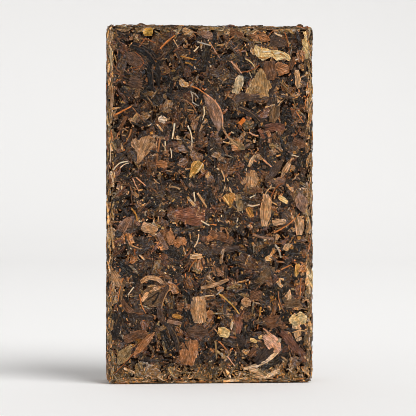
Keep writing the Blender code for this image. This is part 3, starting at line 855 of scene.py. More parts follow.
edgeStreaks = dict(
    looseLeaf, seed=67, length=4.6, width=0.85, steps=5, columns=2, forms=["strip", "blade"], bend=0.03,
    twist=0.08, crumple=0.12, perCm2=3.0, edgeShare=11.0, footShare=2.2, smallest=0.35, largest=1.4,
    lowest=0.0, highest=0.5, tilt=0.03, edgeSize=1.0, edgeOlive=0.1, edgeLift=0.15, deepShade=0.7,
    tints=[("umber", 8), ("rust", 8), ("bark", 12), ("olive", 28), ("tan", 24), ("wheat", 17), ("sage", 3)])
scatteredPieces = [
    scatterPiece("darkLeaves", leafShape, darkLeaves, leafFinish),
    scatterPiece("darkShreds", leafShape, darkShreds, leafFinish),
    scatterPiece("brownFlakes", leafShape, brownFlakes, leafFinish),
    scatterPiece("crumbs", leafShape, crumbs, leafFinish),
    scatterPiece("goldSpecks", leafShape, goldSpecks, leafFinish),
    scatterPiece("broadLeaves", leafShape, broadLeaves, broadFinish),
    scatterPiece("stems", rodShape, stems, stemFinish),
    scatterPiece("edgeStreaks", leafShape, edgeStreaks, leafFinish),
]

# The block under the pieces: its grid, how far it lies below them, and the height and size of its lumps
core = {"step": 1.15 * mm, "edgeSteps": 4, "sink": 0.45 * mm, "relief": 0.4 * mm, "size": 1.6 * mm,
        "fineScale": 2.1, "fineShare": 0.5}


def coreHeight(place):
    spot = place / core["size"]
    fine = core["fineShare"] * noise.noise(spot * core["fineScale"])
    return -core["sink"] + core["relief"] * (noise.noise(spot) + fine)


def pressedCore():
    # The block of fine matter under the pieces
    mesh = bevelledGrid("pressedCore", core["step"], core["edgeSteps"], coreHeight)
    mesh.materials.append(dustFinish)
    mesh.shade_smooth()
    print("pressedCore", len(mesh.polygons) * 2, "triangles")
    return addObject("pressedCore", mesh)


corePiece = pressedCore()


# The leaves and stems that stand out on the front: tint, the midrib's two ends as distance right of the
# middle and height above the foot, width, bow, all in millimetres
frontLeaves = {
    "goldNearTop": ("amber", -28, 147, -24, 146.5, 4.2, 0),
    "rimmedBrown": ("cocoa", -35, 137, -27, 131.5, 5.5, 0),
    "darkPatchLeft": ("cocoa", -34, 126, -28.5, 125, 5, 0),
    "strawCurl": ("straw", 20, 137.8, 31.4, 136.9, 4.8, 0.2),
    "strawCurlLobe": ("straw", 18.6, 141.2, 20.8, 135.8, 3.0, 0.3),
    "strawCurlFlag": ("straw", 30.4, 137.8, 33.4, 135.4, 2.3, 0),
    "rightRimTan": ("straw", 39.4, 147, 41, 144, 1.8, 0),
    "rightRimPale": ("straw", 39.6, 140.6, 40.8, 136, 3.0, 0),
    "fanTan": ("hay", 21, 131.4, 20.6, 119.3, 12.2, 0),
    "brownBesideFan": ("umber", 24.6, 134.8, 25.2, 126.8, 5.2, 0),
    "rustFlakeRight": ("russet", 27, 132.5, 33, 130.5, 5.5, 0),
    "sageFlake": ("sage", 12.5, 128.5, 10.5, 121, 3.8, 0),
    "slateTopRight": ("slate", 25, 143, 31.5, 142, 3.8, 0),
    "oliveBelowBand": ("bark", 27.5, 116, 26, 109, 4.2, 0),
    "mauveRight": ("maroon", 22.5, 106.5, 31, 107.5, 3.8, 0),
    "goldRim": ("honey", 39, 144, 41.5, 137, 2.5, 0),
    "tanUpright": ("wheat", 36, 131, 37, 123.5, 2.5, 0),
    "brownOblong": ("umber", 35, 136.5, 33.5, 131, 1.9, 0),
    "longLeafBlade": ("rose", -2.8, 120.5, 3.4, 105.5, 5.2, 1.4),
    "longLeafTip": ("olive", 6.5, 104, 14.5, 98.5, 2.6, -0.8),
    "wedgeTan": ("tan", -30.2, 91.8, -25.2, 103.2, 6.4, 0.4),
    "wedgeTanLobe": ("tan", -29.8, 95.5, -32.4, 101.8, 3.0, 0),
    "goldLobed": ("gold", -8.6, 86, -4.4, 92.8, 4.9, 0.2),
    "lobedBrown": ("brick", -2.6, 69.8, -14.8, 71, 7.8, 0.5),
    "smallTan": ("russet", -22.5, 91.5, -18, 91.5, 3.4, 0),
    "mauveLeft": ("mauve", -37, 63, -33.5, 69, 5, 0),
    "creamTan": ("tan", -28.5, 66, -22.5, 63.5, 4.6, 0),
    "russetPairA": ("russet", -17.5, 63.5, -16, 58, 3.4, 0),
    "russetPairB": ("russet", -15.5, 58, -10.5, 60.5, 4.2, 0),
    "wheatChunk": ("wheat", -8.5, 53, -3.5, 53.5, 2.5, 0),
    "tanOval": ("caramel", 17.4, 89.2, 17, 81.6, 5.0, 0),
    "tanUnderOval": ("umber", 15.5, 80.5, 21.5, 81, 2.5, 0),
    "tanSliver": ("wheat", 16, 90.5, 18.5, 95.5, 1.7, 0),
    "tanDiagonal": ("caramel", 29.5, 86, 34, 94, 2.3, 0),
    "mauveSmall": ("mauve", 26, 84, 31.5, 85, 3.4, 0),
    "slateDiagonal": ("slate", 24.5, 85.5, 30, 93.5, 3.8, 0),
    "longTanLeaf": ("caramel", 23.5, 79, 22.8, 65.6, 4.7, 0),
    "mauveFarRight": ("rose", 37, 79.5, 39.5, 71.5, 5.5, 0),
    "tanFarRight": ("caramel", 37, 70, 37.5, 62, 3.8, 0),
    "ochreTriangle": ("ochre", 8.5, 73.8, 7.1, 79.4, 5.2, 0),
    "ochreBit": ("ochre", 15.5, 73.5, 17.5, 69.5, 2.9, 0),
    "strawPair": ("straw", 28.5, 78, 32.5, 75.5, 2.0, 0),
    "tanBesideOchre": ("olive", 12.5, 72, 11.5, 79, 2.9, 0),
    "russetC": ("russet", -1.5, 60, 2.5, 62.5, 2.9, 0),
    "tanAboveStem": ("caramel", 26, 67, 31.5, 68, 2.9, 0),
    "oliveBrownWide": ("umber", -0.4, 62.6, 9.4, 59.6, 3.6, 0.2),
    "brownWideUnder": ("slate", 1, 55, 12, 56.6, 3.0, 0.4),
    "roundTan": ("wheat", 31, 55.5, 33, 58.5, 2.9, 0),
    "tanTall": ("caramel", -5.2, 36.4, -4.6, 25.4, 6.8, 0),
    "roundFlake": ("russet", -2, 29, 1.5, 29, 3.8, 0),
    "tanWrinkled": ("russet", -8.2, 18.8, -10, 8.2, 7.2, 0),
    "pinkBrownBlade": ("russet", -23.3, 21.6, -32, 11.8, 3.3, -0.3),
    "brownAboveBlade": ("umber", -36, 18.5, -26.5, 22, 3.8, 0),
    "oliveVeined": ("olive", -38.5, 8.5, -33.5, 16, 5, 0),
    "goldBlob": ("ochre", -16, 28.6, -12.2, 27.8, 1.9, 0),
    "pinkUnderGold": ("mauve", -18, 26.5, -12, 25.5, 1.7, -0.3),
    # tinted dark for the shaded part of this leaf: partly painted shade
    "roundLeaf": ("bark", -28.2, 34.4, -20.6, 38.2, 8.2, 0),
    "leftTan": ("tan", -41, 47, -37.5, 41, 3.8, 0),
    "slateLeft": ("black", -40, 29.5, -39.5, 18.5, 4.6, 0),
    "mauveDark": ("cocoa", -9.5, 21.5, -1, 22, 5.5, 0),
    "pinkMitten": ("pink", 22.6, 20.2, 29, 13.4, 5.6, 0.2),
    "paleGreen": ("honey", 3, 22, 8, 21, 4.2, 0),
    "creamBitA": ("straw", 16.5, 18.5, 19.5, 17.5, 1.7, 0),
    "creamBitB": ("straw", 20, 18, 21.5, 20, 1.7, 0),
    "ochreRight": ("straw", 33, 26, 40.5, 27.5, 5.5, 0),
    "ochreTail": ("wheat", 35.4, 25.8, 37.4, 17.8, 3.4, 0),
    "creamTriangle": ("wheat", 33.2, 39.2, 32.4, 34.8, 2.8, 0),
    "roundOrange": ("tan", 12.8, 34, 16.8, 34, 3.9, 0),
    "darkOrange": ("umber", 15.5, 35.5, 21.5, 38, 4.2, 0),
    "greyOblong": ("bark", 19, 42, 27, 48.5, 3.8, 0),
    "greyBrown": ("bark", 31, 33, 37.5, 34, 4.2, 0),
    "brownMid": ("brick", 11.5, 28, 11.5, 21, 3.8, 0),
    "brownWide": ("umber", 23, 25, 29.5, 27, 5.5, 0),
    "footTan": ("wheat", 18.5, 3, 26, 2.5, 2.1, 0),
    "orangeRight": ("gold", 36.5, 50, 36, 44.5, 2.1, 0),
    "brownStar": ("umber", 34.5, 101.5, 40, 99.5, 3.4, 0),
    "creamSeed": ("cream", 13, 148.5, 16.6, 147.8, 1.7, 0),
    "topPinkBrown": ("russet", 15.5, 146.6, 25, 143.6, 4.8, 0),
    "topDark": ("umber", 8, 147, 13.5, 145.5, 3.8, 0),
    "creamFlake": ("cream", -21.9, 110.2, -18.2, 109.8, 3.4, 0),
    "oliveBit": ("hay", -33, 108.5, -30.5, 112.5, 1.7, 0),
    "orangeBit": ("umber", -38, 105.5, -35, 111.5, 1.5, 0),
    "leftRimSage": ("sage", -42, 140.5, -41.5, 130, 2.1, 0),
    "leftRimTan": ("tan", -41.5, 124, -41.5, 113, 2.3, 0),
    "brownNearFoot": ("umber", 16, 11.5, 18.5, 14, 2.5, 0),
    "greyLeafFoot": ("charcoal", 11.5, 20, 14, 16, 3.8, 0),
    "darkLeafFoot": ("charcoal", 19, 8.5, 26.5, 16, 4.2, 0),
    "pinkTopRim": ("mauve", -4, 146.5, 1, 144.5, 3.4, 0),
}
frontStrips = {
    "darkTwistUpper": ("jet", -33.5, 140.4, -23.2, 132.4, 1.9, 1.7),
    "darkTwistLower": ("jet", -25.2, 134, -24.8, 123, 2.2, -0.4),
    "darkTwistFold": ("jet", -32.6, 141.6, -21.2, 133.4, 1.5, 1.9),
    "darkTwistDrop": ("black", -22.4, 133.4, -22, 124, 2.0, 0.4),
    "darkBandRise": ("charcoal", 27.6, 127, 24.6, 117.4, 2.0, -0.6),
    # a caramel strip as painted light on the round leaf's lit upper-left side
    "roundLeafLight": ("caramel", -28.4, 34.4, -20.9, 40.2, 1.9, 1.4),
    "darkBandLong": ("slate", 10, 118, 24.5, 119, 3.8, 1.7),
    "darkBandUnder": ("charcoal", 11, 115.5, 21, 109, 2.5, 0.8),
    "mauveStrip": ("mauve", -22, 63, -18, 56, 2.1, 0),
    "oliveBandTop": ("slate", -17, 41.5, -21, 32.5, 2.5, -0.8),
    "oliveBandBend": ("slate", -21, 33, -19.5, 25, 2.5, -0.8),
    "oliveBandTail": ("charcoal", -19.2, 25.6, -13.9, 13.4, 2.3, 1.7),
    "leftHookTop": ("bark", -35.5, 43, -37, 35, 1.5, -0.8),
    "leftHookFoot": ("umber", -37, 35.5, -28, 29.5, 2.5, -2.1),
    "goldHook": ("caramel", -29, 42.5, -20, 42, 2.1, 2.1),
    "darkCross": ("charcoal", -34, 29, -24, 27, 2.9, 0.4),
    "tanStickPair": ("tan", -4, 40, 7.5, 43.5, 1.7, -0.4),
    "pinkStalk": ("cream", 28.2, 13.4, 14, 6.2, 1.9, 1.3),
    "mauveStripes": ("maroon", 29.5, 21.5, 36.5, 13, 3.4, 0.4),
    "footTanCurl": ("cream", 24.5, 3, 29, 5.5, 1.3, 0.4),
    "footForkTan": ("wheat", 16, 5.8, 22.5, 3.6, 1.7, 0.3),
    "footForkOlive": ("olive", 19.2, 6.2, 25.2, 2.6, 1.4, -0.2),
    "footForkCurl": ("cream", 22.4, 2.2, 28, 4.4, 1.4, 0.5),
    "orangeCurlA": ("brick", 20, 106, 22, 101, 1.7, 0.8),
    "orangeCurlB": ("russet", 23.5, 105.5, 24.5, 100.5, 1.7, 0.8),
}
frontStems = {
    "rustStemA": ("rust", -30, 140, -27, 144, 1.2, 0),
    "rustStemB": ("rust", -27, 143.5, -23, 142, 1.2, 0),
    "rustStemC": ("orange", -21, 139.5, -13, 146, 1.3, 0.6),
    "knobStem": ("wheat", -15.5, 143.5, -13.5, 140, 0.8, 0),
    "pinkStemTop": ("pink", -0.5, 142.5, 4, 135.5, 0.8, 0),
    "paleTipTop": ("pale", -7, 138.5, -5, 140.5, 1.1, 0),
    "silverBudTop": ("silver", -5.5, 142.5, 0, 141, 1.1, 0),
    "pinkStemStout": ("pink", 8.5, 134.5, 13, 129.5, 1.3, 0),
    "rustArc": ("rust", 13, 130, 20.5, 133, 0.8, -0.8),
    "goldArc": ("straw", 14.5, 135.5, 18.5, 132, 0.9, 0.6),
    "redArc": ("rust", 23.5, 143, 27.5, 148, 0.8, 0.8),
    "redStemRight": ("rust", 31, 147, 33, 138, 0.8, 0.4),
    "creamChip": ("cream", 26.5, 146.5, 30, 145, 1.3, 0),
    "thinOlive": ("olive", 29.2, 126, 36, 113, 0.8, 1.5),
    "forkOrangeA": ("orange", 43, 123, 40, 118.5, 0.8, 0),
    "forkOrangeB": ("orange", 40, 119, 39.5, 115, 0.6, 0),
    "thinOrangeRight": ("orange", 35.5, 114.5, 39, 109, 0.8, 0),
    "redLeftStem": ("orange", -40.5, 111.5, -33, 115.5, 1.3, 0),
    "redLeftTail": ("russet", -32.5, 115, -27.5, 109, 0.7, 0),
    "paleStemA": ("pale", -15, 108.5, -16, 102, 1.3, 0),
    "paleStemB": ("pale", -9.5, 107.5, -8, 98.5, 1, 0.8),
    "tanHookA": ("russet", -10.5, 118, -6, 113, 1.2, 0.8),
    "paleStemC": ("pale", -3, 115.5, -3.5, 110, 1, 0.6),
    "whiteDot": ("pale", -0.5, 107, 0.5, 106.5, 0.8, 0),
    "orangeStick": ("russet", -21, 102.5, -22.5, 93, 1.2, 0),
    "paleStick": ("pale", -19, 101, -19, 97, 0.9, 0),
    "paleStickB": ("pale", -17, 99, -16.5, 94, 0.7, 0.4),
    "pinkTwigA": ("pink", -32.5, 85.5, -30, 80.5, 0.9, 0),
    "pinkTwigB": ("pink", -31, 86, -27, 82.5, 1, 0),
    "paleSpiralA": ("pale", -40.5, 89, -34.5, 92.5, 1, 1.1),
    "paleSpiralB": ("cream", -37.5, 90, -34, 92, 0.8, 0.4),
    "paleTipMid": ("pale", -7, 80, -6.5, 76, 1.1, 0),
    "tanTwigs": ("wheat", -5.5, 79.5, -1.5, 73.5, 1.6, 0),
    "whiteStick": ("pale", -4, 68, -0.5, 66, 1.1, 0),
    "goldShred": ("ochre", -33, 73, -30.5, 68, 1.2, 0.6),
    "creamHook": ("cream", -5, 62.5, -7, 57, 1.1, 0.6),
    "longArc": ("wheat", 4.5, 89, 4.5, 78.5, 0.9, 1.5),
    "pinkStemMid": ("pink", 22, 93.5, 25.5, 90.5, 1.2, 0),
    "longOrangeStem": ("orange", 26.5, 63, 37.5, 71, 1, -0.8),
    "stoutStem": ("rose", 17.6, 62.1, 26.4, 60.4, 2.0, -0.2),
    "tanHookMid": ("wheat", 23, 79, 27.5, 81.5, 0.9, 1.3),
    "brownArc": ("rust", 25.5, 78, 31, 84, 0.9, 1.1),
    "creamArc": ("cream", 15.5, 74.5, 20.5, 75, 1.1, -0.6),
    "whiteChipA": ("pale", 2, 70, 3.5, 67.5, 0.9, 0),
    "whiteChipB": ("pale", 34, 95.5, 38, 94.5, 0.8, 0),
    "whiteChipC": ("pale", 16.5, 77.5, 19, 79, 0.9, 0),
    "silverBudMid": ("silver", 27, 58, 29.5, 52.5, 1.3, 0.4),
    "paleDownLeft": ("pale", -32, 40.5, -35, 36.5, 0.9, 0),
    "orangeDownLeft": ("orange", -29.5, 37.5, -27, 29.5, 0.9, -0.6),
    "rustDownLeft": ("orange", -36, 45.5, -38.5, 34.5, 0.9, -0.4),
    "creamFootLeft": ("cream", -22, 3.5, -19, 0.5, 1.3, 0),
    "silverCurlA": ("silver", -29, 9.5, -25.5, 8, 0.7, 0.2),
    "silverCurlB": ("silver", -25.5, 8.5, -27.5, 4.5, 0.7, 0.2),
    "goldDiagonal": ("gold", 3.5, 37.5, 12, 29, 1.2, 0.6),
    "creamPairA": ("cream", -2.5, 36.5, 1.5, 37, 0.9, 0),
    "silverPairB": ("silver", 5, 39.5, 2.5, 37, 0.9, 0),
    "uprightRight": ("orange", 38, 44, 37.5, 35.5, 0.8, 0),
    "brownCurveRight": ("russet", 28.5, 38.5, 31, 30, 0.9, -0.8),
    "greyUpright": ("olive", 2, 18, 2.5, 10.5, 1.3, 0),
    "pinkFoot": ("pink", 7, 11.5, 10, 7.5, 0.8, 0),
    "orangeTwig": ("orange", 29.5, 47.5, 33.5, 49.5, 1, 0),
    "goldUpright": ("ochre", 21, 32, 20.5, 28, 1.4, 0),
    "goldLeftEdge": ("gold", -42, 37, -42, 31.5, 1.3, 0),
    "creamLeftEdge": ("cream", -42.5, 100.5, -42, 92, 1.1, 0),
    "stalkLeftEdge": ("wheat", -41.5, 65.5, -40.5, 56.5, 1.3, 0),
    "topRimTan": ("wheat", 19, 149, 36.5, 148.5, 0.8, 0),
    "veinTop": ("orange", -8, 124, -1.4, 120.2, 0.9, 0.4),
    "veinMiddle": ("pink", -1.8, 120.4, 4.9, 107.4, 1.2, 2.5),
    "veinTail": ("tan", 4.8, 107.8, 13.8, 98.6, 1.3, -1.7),
    "bladeStem": ("rust", -32, 13, -39.5, 5, 0.7, 0),
    "mittenStem": ("pink", 22, 23, 25.5, 20.5, 0.9, 0),
    "orangeDot": ("ember", 12.2, 108.2, 14.2, 110.6, 3.2, 0),
    "pinkHookTop": ("pink", 16, 105, 20, 103.5, 1.1, -0.4),
    "creamFootRight": ("cream", 40.5, 10, 41.5, 8.5, 1, 0),
    # a black rod laid as painted shadow of the round leaf's fold
    "foldShadow": ("black", -26.5, 35, -21.5, 38.5, 1.3, 0),
    "greenSliver": ("olive", 23, 4.5, 26, 1, 0.9, 0),
    "brownRimUpper": ("rust", -31.5, 138, -27.8, 133.5, 0.7, 0.5),
    "brownRimLower": ("rust", -27.8, 133.8, -31.5, 130.6, 0.7, 0.5),
    # a black stem tinted grey for its highlights: partly painted highlight
    "greyTwig": ("slate", -14.5, 138.5, -10, 127, 1.4, 0.4),
    "goldBitsA": ("ochre", -12.5, 136.5, -6, 135, 0.9, 0),
    "goldBitsB": ("ochre", -10.5, 133.8, -7.5, 132.5, 1.1, 0.3),
    "paleCrinkleA": ("silver", -8.4, 122, -7.6, 117, 0.8, 0.5),
    "paleCrinkleB": ("silver", -8.2, 121.6, -5, 119, 0.8, 0.4),
    "paleCrinkleC": ("silver", -7.4, 117.4, -4.8, 116, 0.8, -0.3),
}
# Veins, folds and gleams that lie on the leaves above, as thin rods: the gleams are painted highlights, the
# dark fold and shade lines painted shade
leafLines = {
    # grey lines on the dark twisted leaf: painted sheen
    "twistLineA": ("slate", -32.4, 140.9, -22.8, 133, 0.6, 1.8),
    "twistLineB": ("slate", -31.5, 141.6, -22.4, 134.2, 0.5, 1.8),
    "twistLineC": ("slate", -24, 133, -23.6, 123.5, 0.6, -0.3),
    # pale lines on the straw curl: painted highlights
    "curlGleamA": ("pale", 19.1, 140.6, 20.3, 136.8, 0.9, 0.2),
    "curlGleamB": ("pale", 21.8, 138.5, 26, 138.4, 0.8, 0.2),
    "curlGleamC": ("pale", 26.6, 137.6, 30.4, 138, 0.8, 0.3),
    # ochre lines on the straw curl: painted shade in its creases
    "curlShadeA": ("ochre", 19.9, 136.2, 24.6, 136.1, 0.7, -0.2),
    "curlShadeB": ("ochre", 24.8, 138.9, 27.4, 136.2, 0.7, 0.2),
    "curlShadeC": ("ochre", 28.2, 138.4, 31.4, 136.2, 0.6, 0.2),
    # lines along the dark band: painted gloss highlights
    "bandLineA": ("mauve", 11, 118.4, 24, 119.6, 0.6, 1.7),
    "bandLineB": ("bark", 12, 117.4, 24, 118.4, 0.5, 1.5),
    "bandLineC": ("bark", 12, 115.4, 20.5, 109.6, 0.6, 0.8),
    "footBandLine": ("bark", -18.4, 25, -13.2, 13.8, 0.6, 1.7),
    "topBandLine": ("tan", -16.2, 40.6, -20.4, 31.6, 0.6, -0.8),
    "roundOrangeMark": ("umber", 14.4, 34.3, 15.2, 34.1, 1.1, 0),
    # painted highlights on the wheat chunk and the gold leaf
    "wheatChunkGleam": ("cream", -7.8, 53.4, -4.6, 53.8, 0.9, 0),
    "goldGleam": ("pale", -3.4, 91.9, -7.4, 87.2, 0.7, 0.5),
    "tanStripVein": ("wheat", 24.1, 77.6, 23.6, 67, 0.5, 0),
    "tanStripGroove": ("umber", 22.5, 77.4, 22, 67.6, 0.4, 0),
    "bladeVeinA": ("pink", -2, 118.6, 2.6, 107.6, 0.5, 0.9),
    "bladeVeinB": ("slate", -2.6, 119, 1.4, 108.4, 0.5, -0.2),
    "brownLeafVein": ("pink", -3.4, 69.6, -11.8, 71.2, 0.5, 0.3),
    "brownLeafVeinB": ("rose", -4, 69.8, -8.4, 73.6, 0.4, 0.2),
    "brownLeafVeinC": ("rose", -4, 69.4, -8.6, 68.2, 0.4, 0),
    "tallVein": ("wheat", -5.8, 36, -5.4, 26, 0.5, 0.2),
    "mittenVein": ("cream", 23, 19.8, 28.6, 14.4, 0.5, 0.3),
    "wedgeVein": ("wheat", -29.4, 93.4, -25.4, 101.6, 0.5, 0.2),
    # a black line as painted shade in the round leaf's fold
    "roundLeafFold": ("black", -24.4, 33.4, -21.6, 38.4, 1.1, -0.5),
    "ochreFold": ("straw", 5.4, 78.2, 7.9, 74.2, 1.0, 0.1),
}
# Leaves with a character of their own: outline, how torn it is, and whether it is ribbed along, rayed from
# its base or veined aslant. The rest are broken bits
frontForms = {
    "strawCurl": ("crinkled", 0.2, "veined"), "strawCurlLobe": ("oval", 0.1, "ribbed"),
    "fanTan": ("fan", 0.12, "rayed"), "brownBesideFan": ("strip", 0.06, "ribbed"),
    "topPinkBrown": ("blade", 0.15, "ribbed"), "sageFlake": ("broken", 0.3, "veined"),
    "longLeafBlade": ("blade", 0.06, "ribbed"), "longLeafTip": ("wedge", 0.1, "ribbed"),
    "wedgeTan": ("wedge", 0.12, "veined"), "wedgeTanLobe": ("wedge", 0.1, "veined"),
    "goldLobed": ("wedge", 0.14, "veined"), "lobedBrown": ("heart", 0.05, "rayed"),
    "goldNearTop": ("rounded", 0.14, "veined"), "tanOval": ("rounded", 0.08, "veined"),
    "tanDiagonal": ("blade", 0.08, "ribbed"), "longTanLeaf": ("strip", 0.04, "ribbed"),
    "ochreTriangle": ("wedge", 0.06, "ribbed"), "tanTall": ("strip", 0.08, "ribbed"),
    "roundFlake": ("oval", 0.08, "veined"), "tanWrinkled": ("strip", 0.14, "ribbed"),
    "pinkBrownBlade": ("blade", 0.05, "ribbed"), "oliveVeined": ("blade", 0.1, "veined"),
    "roundLeaf": ("oval", 0.08, "ribbed"), "roundOrange": ("oval", 0.06, "rayed"),
    "pinkMitten": ("oval", 0.05, "veined"), "paleGreen": ("broken", 0.2, "veined"),
    "creamTriangle": ("wedge", 0.06, "ribbed"), "ochreRight": ("lobed", 0.2, "veined"),
    "greyOblong": ("blade", 0.06, "ribbed"), "mauveFarRight": ("blade", 0.1, "veined"),
    "slateDiagonal": ("blade", 0.06, "ribbed"), "rimmedBrown": ("rounded", 0.1, "veined"),
    "creamFlake": ("oval", 0.16, "veined"), "rustFlakeRight": ("shard", 0.14, "ribbed"),
}


class PieceMesh:
    # Many pieces that make one mesh, with what their finish reads at each point
    kinds = {
        "tint": "FLOAT_COLOR", "grain": "FLOAT_VECTOR", "pick": "FLOAT", "rim": "FLOAT", "height": "FLOAT",
    }

    def __init__(self):
        self.points, self.faces = [], []
        self.kept = {label: [] for label in self.kinds}

    def addPiece(self, points, faces, kept):
        start = len(self.points)
        self.points += points
        self.faces += [[start + index for index in face] for face in faces]
        for label, values in kept.items():
            self.kept[label] += values

    def makeObject(self, name, finish, smoothAngle):
        mesh = closedMesh(name, self.points, self.faces, smoothAngle)
        for label, kind in self.kinds.items():
            keepOnPoints(mesh, label, kind, self.kept[label])
        mesh.materials.append(finish)
        print(name, len(mesh.polygons), "triangles")
        return addObject(name, mesh)


def onFront(spot, height):
    return pressedPoint(Vector((spot.x * mm, -halfSize.y, spot.y * mm)), height)


def onTop(spot, height):
    return pressedPoint(Vector((spot.x * mm, spot.y * mm, blockMiddle.z + halfSize.z)), height)


def midrib(start, end, bow, t):
    # A place on a bowed line between two ends, and the way across the line there
    run = end - start
    across = Vector((-run.y, run.x)).normalized()
    spot = start + run * t + across * (bow * 4 * t * (1 - t))
    way = (run + across * (bow * 4 * (1 - 2 * t))).normalized()
    return spot, Vector((-way.y, way.x))


# Picks under and over the share from which the finishes are ribbed
pickRange = {"veined": (0.0, 0.5), "ribbed": (0.7, 1.0), "rayed": (0.7, 1.0)}
rays = {"spread": 0.8, "start": 0.35}  # ribs that fan out from the base


def addShownPiece(mesh, draw, row, shape, look, onSide, ceiling):
    # One shape in its own place, bent along its midrib and pressed onto a side of the block
    tint, x0, z0, x1, z1, width, bow = row
    start, end = Vector((x0, z0)), Vector((x1, z1))
    length = (end - start).length
    points, faces, rims = shape(draw, look, length, width)
    lift = draw.uniform(look["low"], look["high"])
    tiltAlong, tiltAcross = [draw.uniform(-1, 1) * look["tilt"] for _ in range(2)]
    placed, heights = [], []
    for x, y, z in points:
        spot, across = midrib(start, end, bow, x / length + 0.5)
        height = clamp(lift + z + tiltAlong * x / length + tiltAcross * y / width, look["deepest"], ceiling)
        placed.append(onSide(spot + across * y, height * mm))
        heights.append(height)
    light = draw.uniform(*look["light"])
    colour = [c * light for c in linear(tint)[:3]] + [1.0]
    pick = draw.uniform(*pickRange[look["ribs"]])
    if look["ribs"] == "rayed":
        points = [(x, rays["spread"] * y / (rays["start"] + max(0.0, x / length + 0.5)), z)
                  for x, y, z in points]
    mesh.addPiece(placed, faces, {
        "tint": [colour] * len(points), "grain": points, "pick": [pick] * len(points), "rim": rims,
        "height": heights})


frontLeafLook = {
    "bend": 0.0, "fold": 0.1, "twist": 0.08, "curl": 0.1, "crown": 0.1, "ragged": 0.24, "pleat": 0.05,
    "crumple": 0.26, "crumpleScale": 0.5, "rimDrop": 0.07, "droop": 0.06, "keel": 1.0, "low": 0.44,
    "high": 0.6, "deepest": -1.0, "tilt": 0.15, "light": (0.92, 1.08), "seed": 5, "meshSize": 0.7,
    "stepRange": (4, 26), "columnRange": (3, 10), "smoothAngle": 55,
}
frontStemLook = {
    "sides": 7, "bend": 0.0, "kink": 0.1, "thin": 0.3, "flat": 0.75, "dip": 0.15, "low": 0.32, "high": 0.54,
    "deepest": -1.0, "tilt": 0.15, "light": (0.92, 1.08), "slim": 0.66, "ribs": "ribbed", "meshSize": 0.8,
    "stepRange": (3, 20), "smoothAngle": 60,
}
leafLineLook = dict(frontStemLook, low=0.58, high=0.66, flat=0.5, tilt=0.02, kink=0.05, slim=0.8)


def rowLength(row):
    return Vector((row[3] - row[1], row[4] - row[2])).length


def frontPieces():
    draw = random.Random(frontLeafLook["seed"])
    leaves, rods = PieceMesh(), PieceMesh()
    for kind, rows in (("broken", frontLeaves), ("strip", frontStrips)):
        for name, row in rows.items():
            form, ragged, ribs = frontForms.get(name, (kind, frontLeafLook["ragged"], "ribbed"))
            steps, columns = rowLength(row) / frontLeafLook["meshSize"], row[5] / frontLeafLook["meshSize"]
            look = dict(frontLeafLook, forms=[form], ragged=ragged, ribs=ribs,
                        steps=round(clamp(steps, *frontLeafLook["stepRange"])),
                        columns=round(clamp(columns, *frontLeafLook["columnRange"])))
            addShownPiece(leaves, draw, row, leafShape, look, onFront, highest / mm)
    for rows, kind in ((frontStems, frontStemLook), (leafLines, leafLineLook)):
        for row in rows.values():
            look = dict(kind, steps=round(clamp(rowLength(row) / kind["meshSize"], *kind["stepRange"])))
            slim = row[:5] + (row[5] * look["slim"], row[6])
            addShownPiece(rods, draw, slim, rodShape, look, onFront, highest / mm)
    return [leaves.makeObject("frontLeaves", broadFinish, frontLeafLook["smoothAngle"]),
            rods.makeObject("frontStems", stemFinish, frontStemLook["smoothAngle"])]


# Bits that stand up from the top: tint, two ends as distance right of the middle and behind it, width,
# bow and rise, in millimetres
topBits = {
    "dryLump": ("umber", -30.2, -8.0, -27.0, -7.4, 3.4, 0, 1.35),
    "lowRise": ("charcoal", -20.5, -8.5, -10.5, -8.0, 3.6, 0, 0.55),
    "paleCurl": ("bark", 36.6, -8.5, 39.4, -8.0, 1.8, 0.3, 1.35),
    "smallChip": ("maroon", 7.0, -9.0, 10.5, -8.6, 2.2, 0, 0.9),
    "tanChip": ("tan", 24.0, -7.0, 29.0, -6.5, 2.8, 0, 0.6),
}
topLook = dict(frontLeafLook, seed=17, forms=["broken"], ribs="veined", steps=7, columns=5, crown=0.7,
               droop=0.6, curl=0.0, tilt=0.05, sink=0.6, spare=0.05, smoothAngle=50)


def topPieces():
    draw = random.Random(topLook["seed"])
    bits = PieceMesh()
    ceiling = (nodeHigh.z - halfSize.z - blockMiddle.z) / mm - topLook["spare"]
    for *row, rise in topBits.values():
        lift = rise - topLook["sink"]
        addShownPiece(bits, draw, row, leafShape, dict(topLook, low=lift, high=lift), onTop, ceiling)
    return bits.makeObject("topBits", broadFinish, topLook["smoothAngle"])


shownPieces = frontPieces() + [topPieces()]


studio = {
    "floorReach": 1.5, "sweepRadius": 0.8, "sweepSteps": 16, "wallTop": 1.3, "turnSteps": 96,
    # floorShade, wallShade and rightPaler paint shade towards the wall and light to the right on the backdrop
    "floorTint": (1.0, 0.993, 0.985), "floorShade": 0.975, "wallShade": 0.797, "rightPaler": 0.1,
    "shadeFrom": 0.25, "shadeTo": 1.7, "roughness": 0.9, "specular": 0.1,
    "worldTint": (1.0, 0.995, 0.988, 1), "worldLight": 0.437,
    "sunWay": (0.62, -0.62, 0.95), "sunPower": 2.14, "sunSpread": 40,
    "fillPlace": (-0.9, -1.2, 0.5), "fillPower": 0.8, "fillSize": 1.2,
}


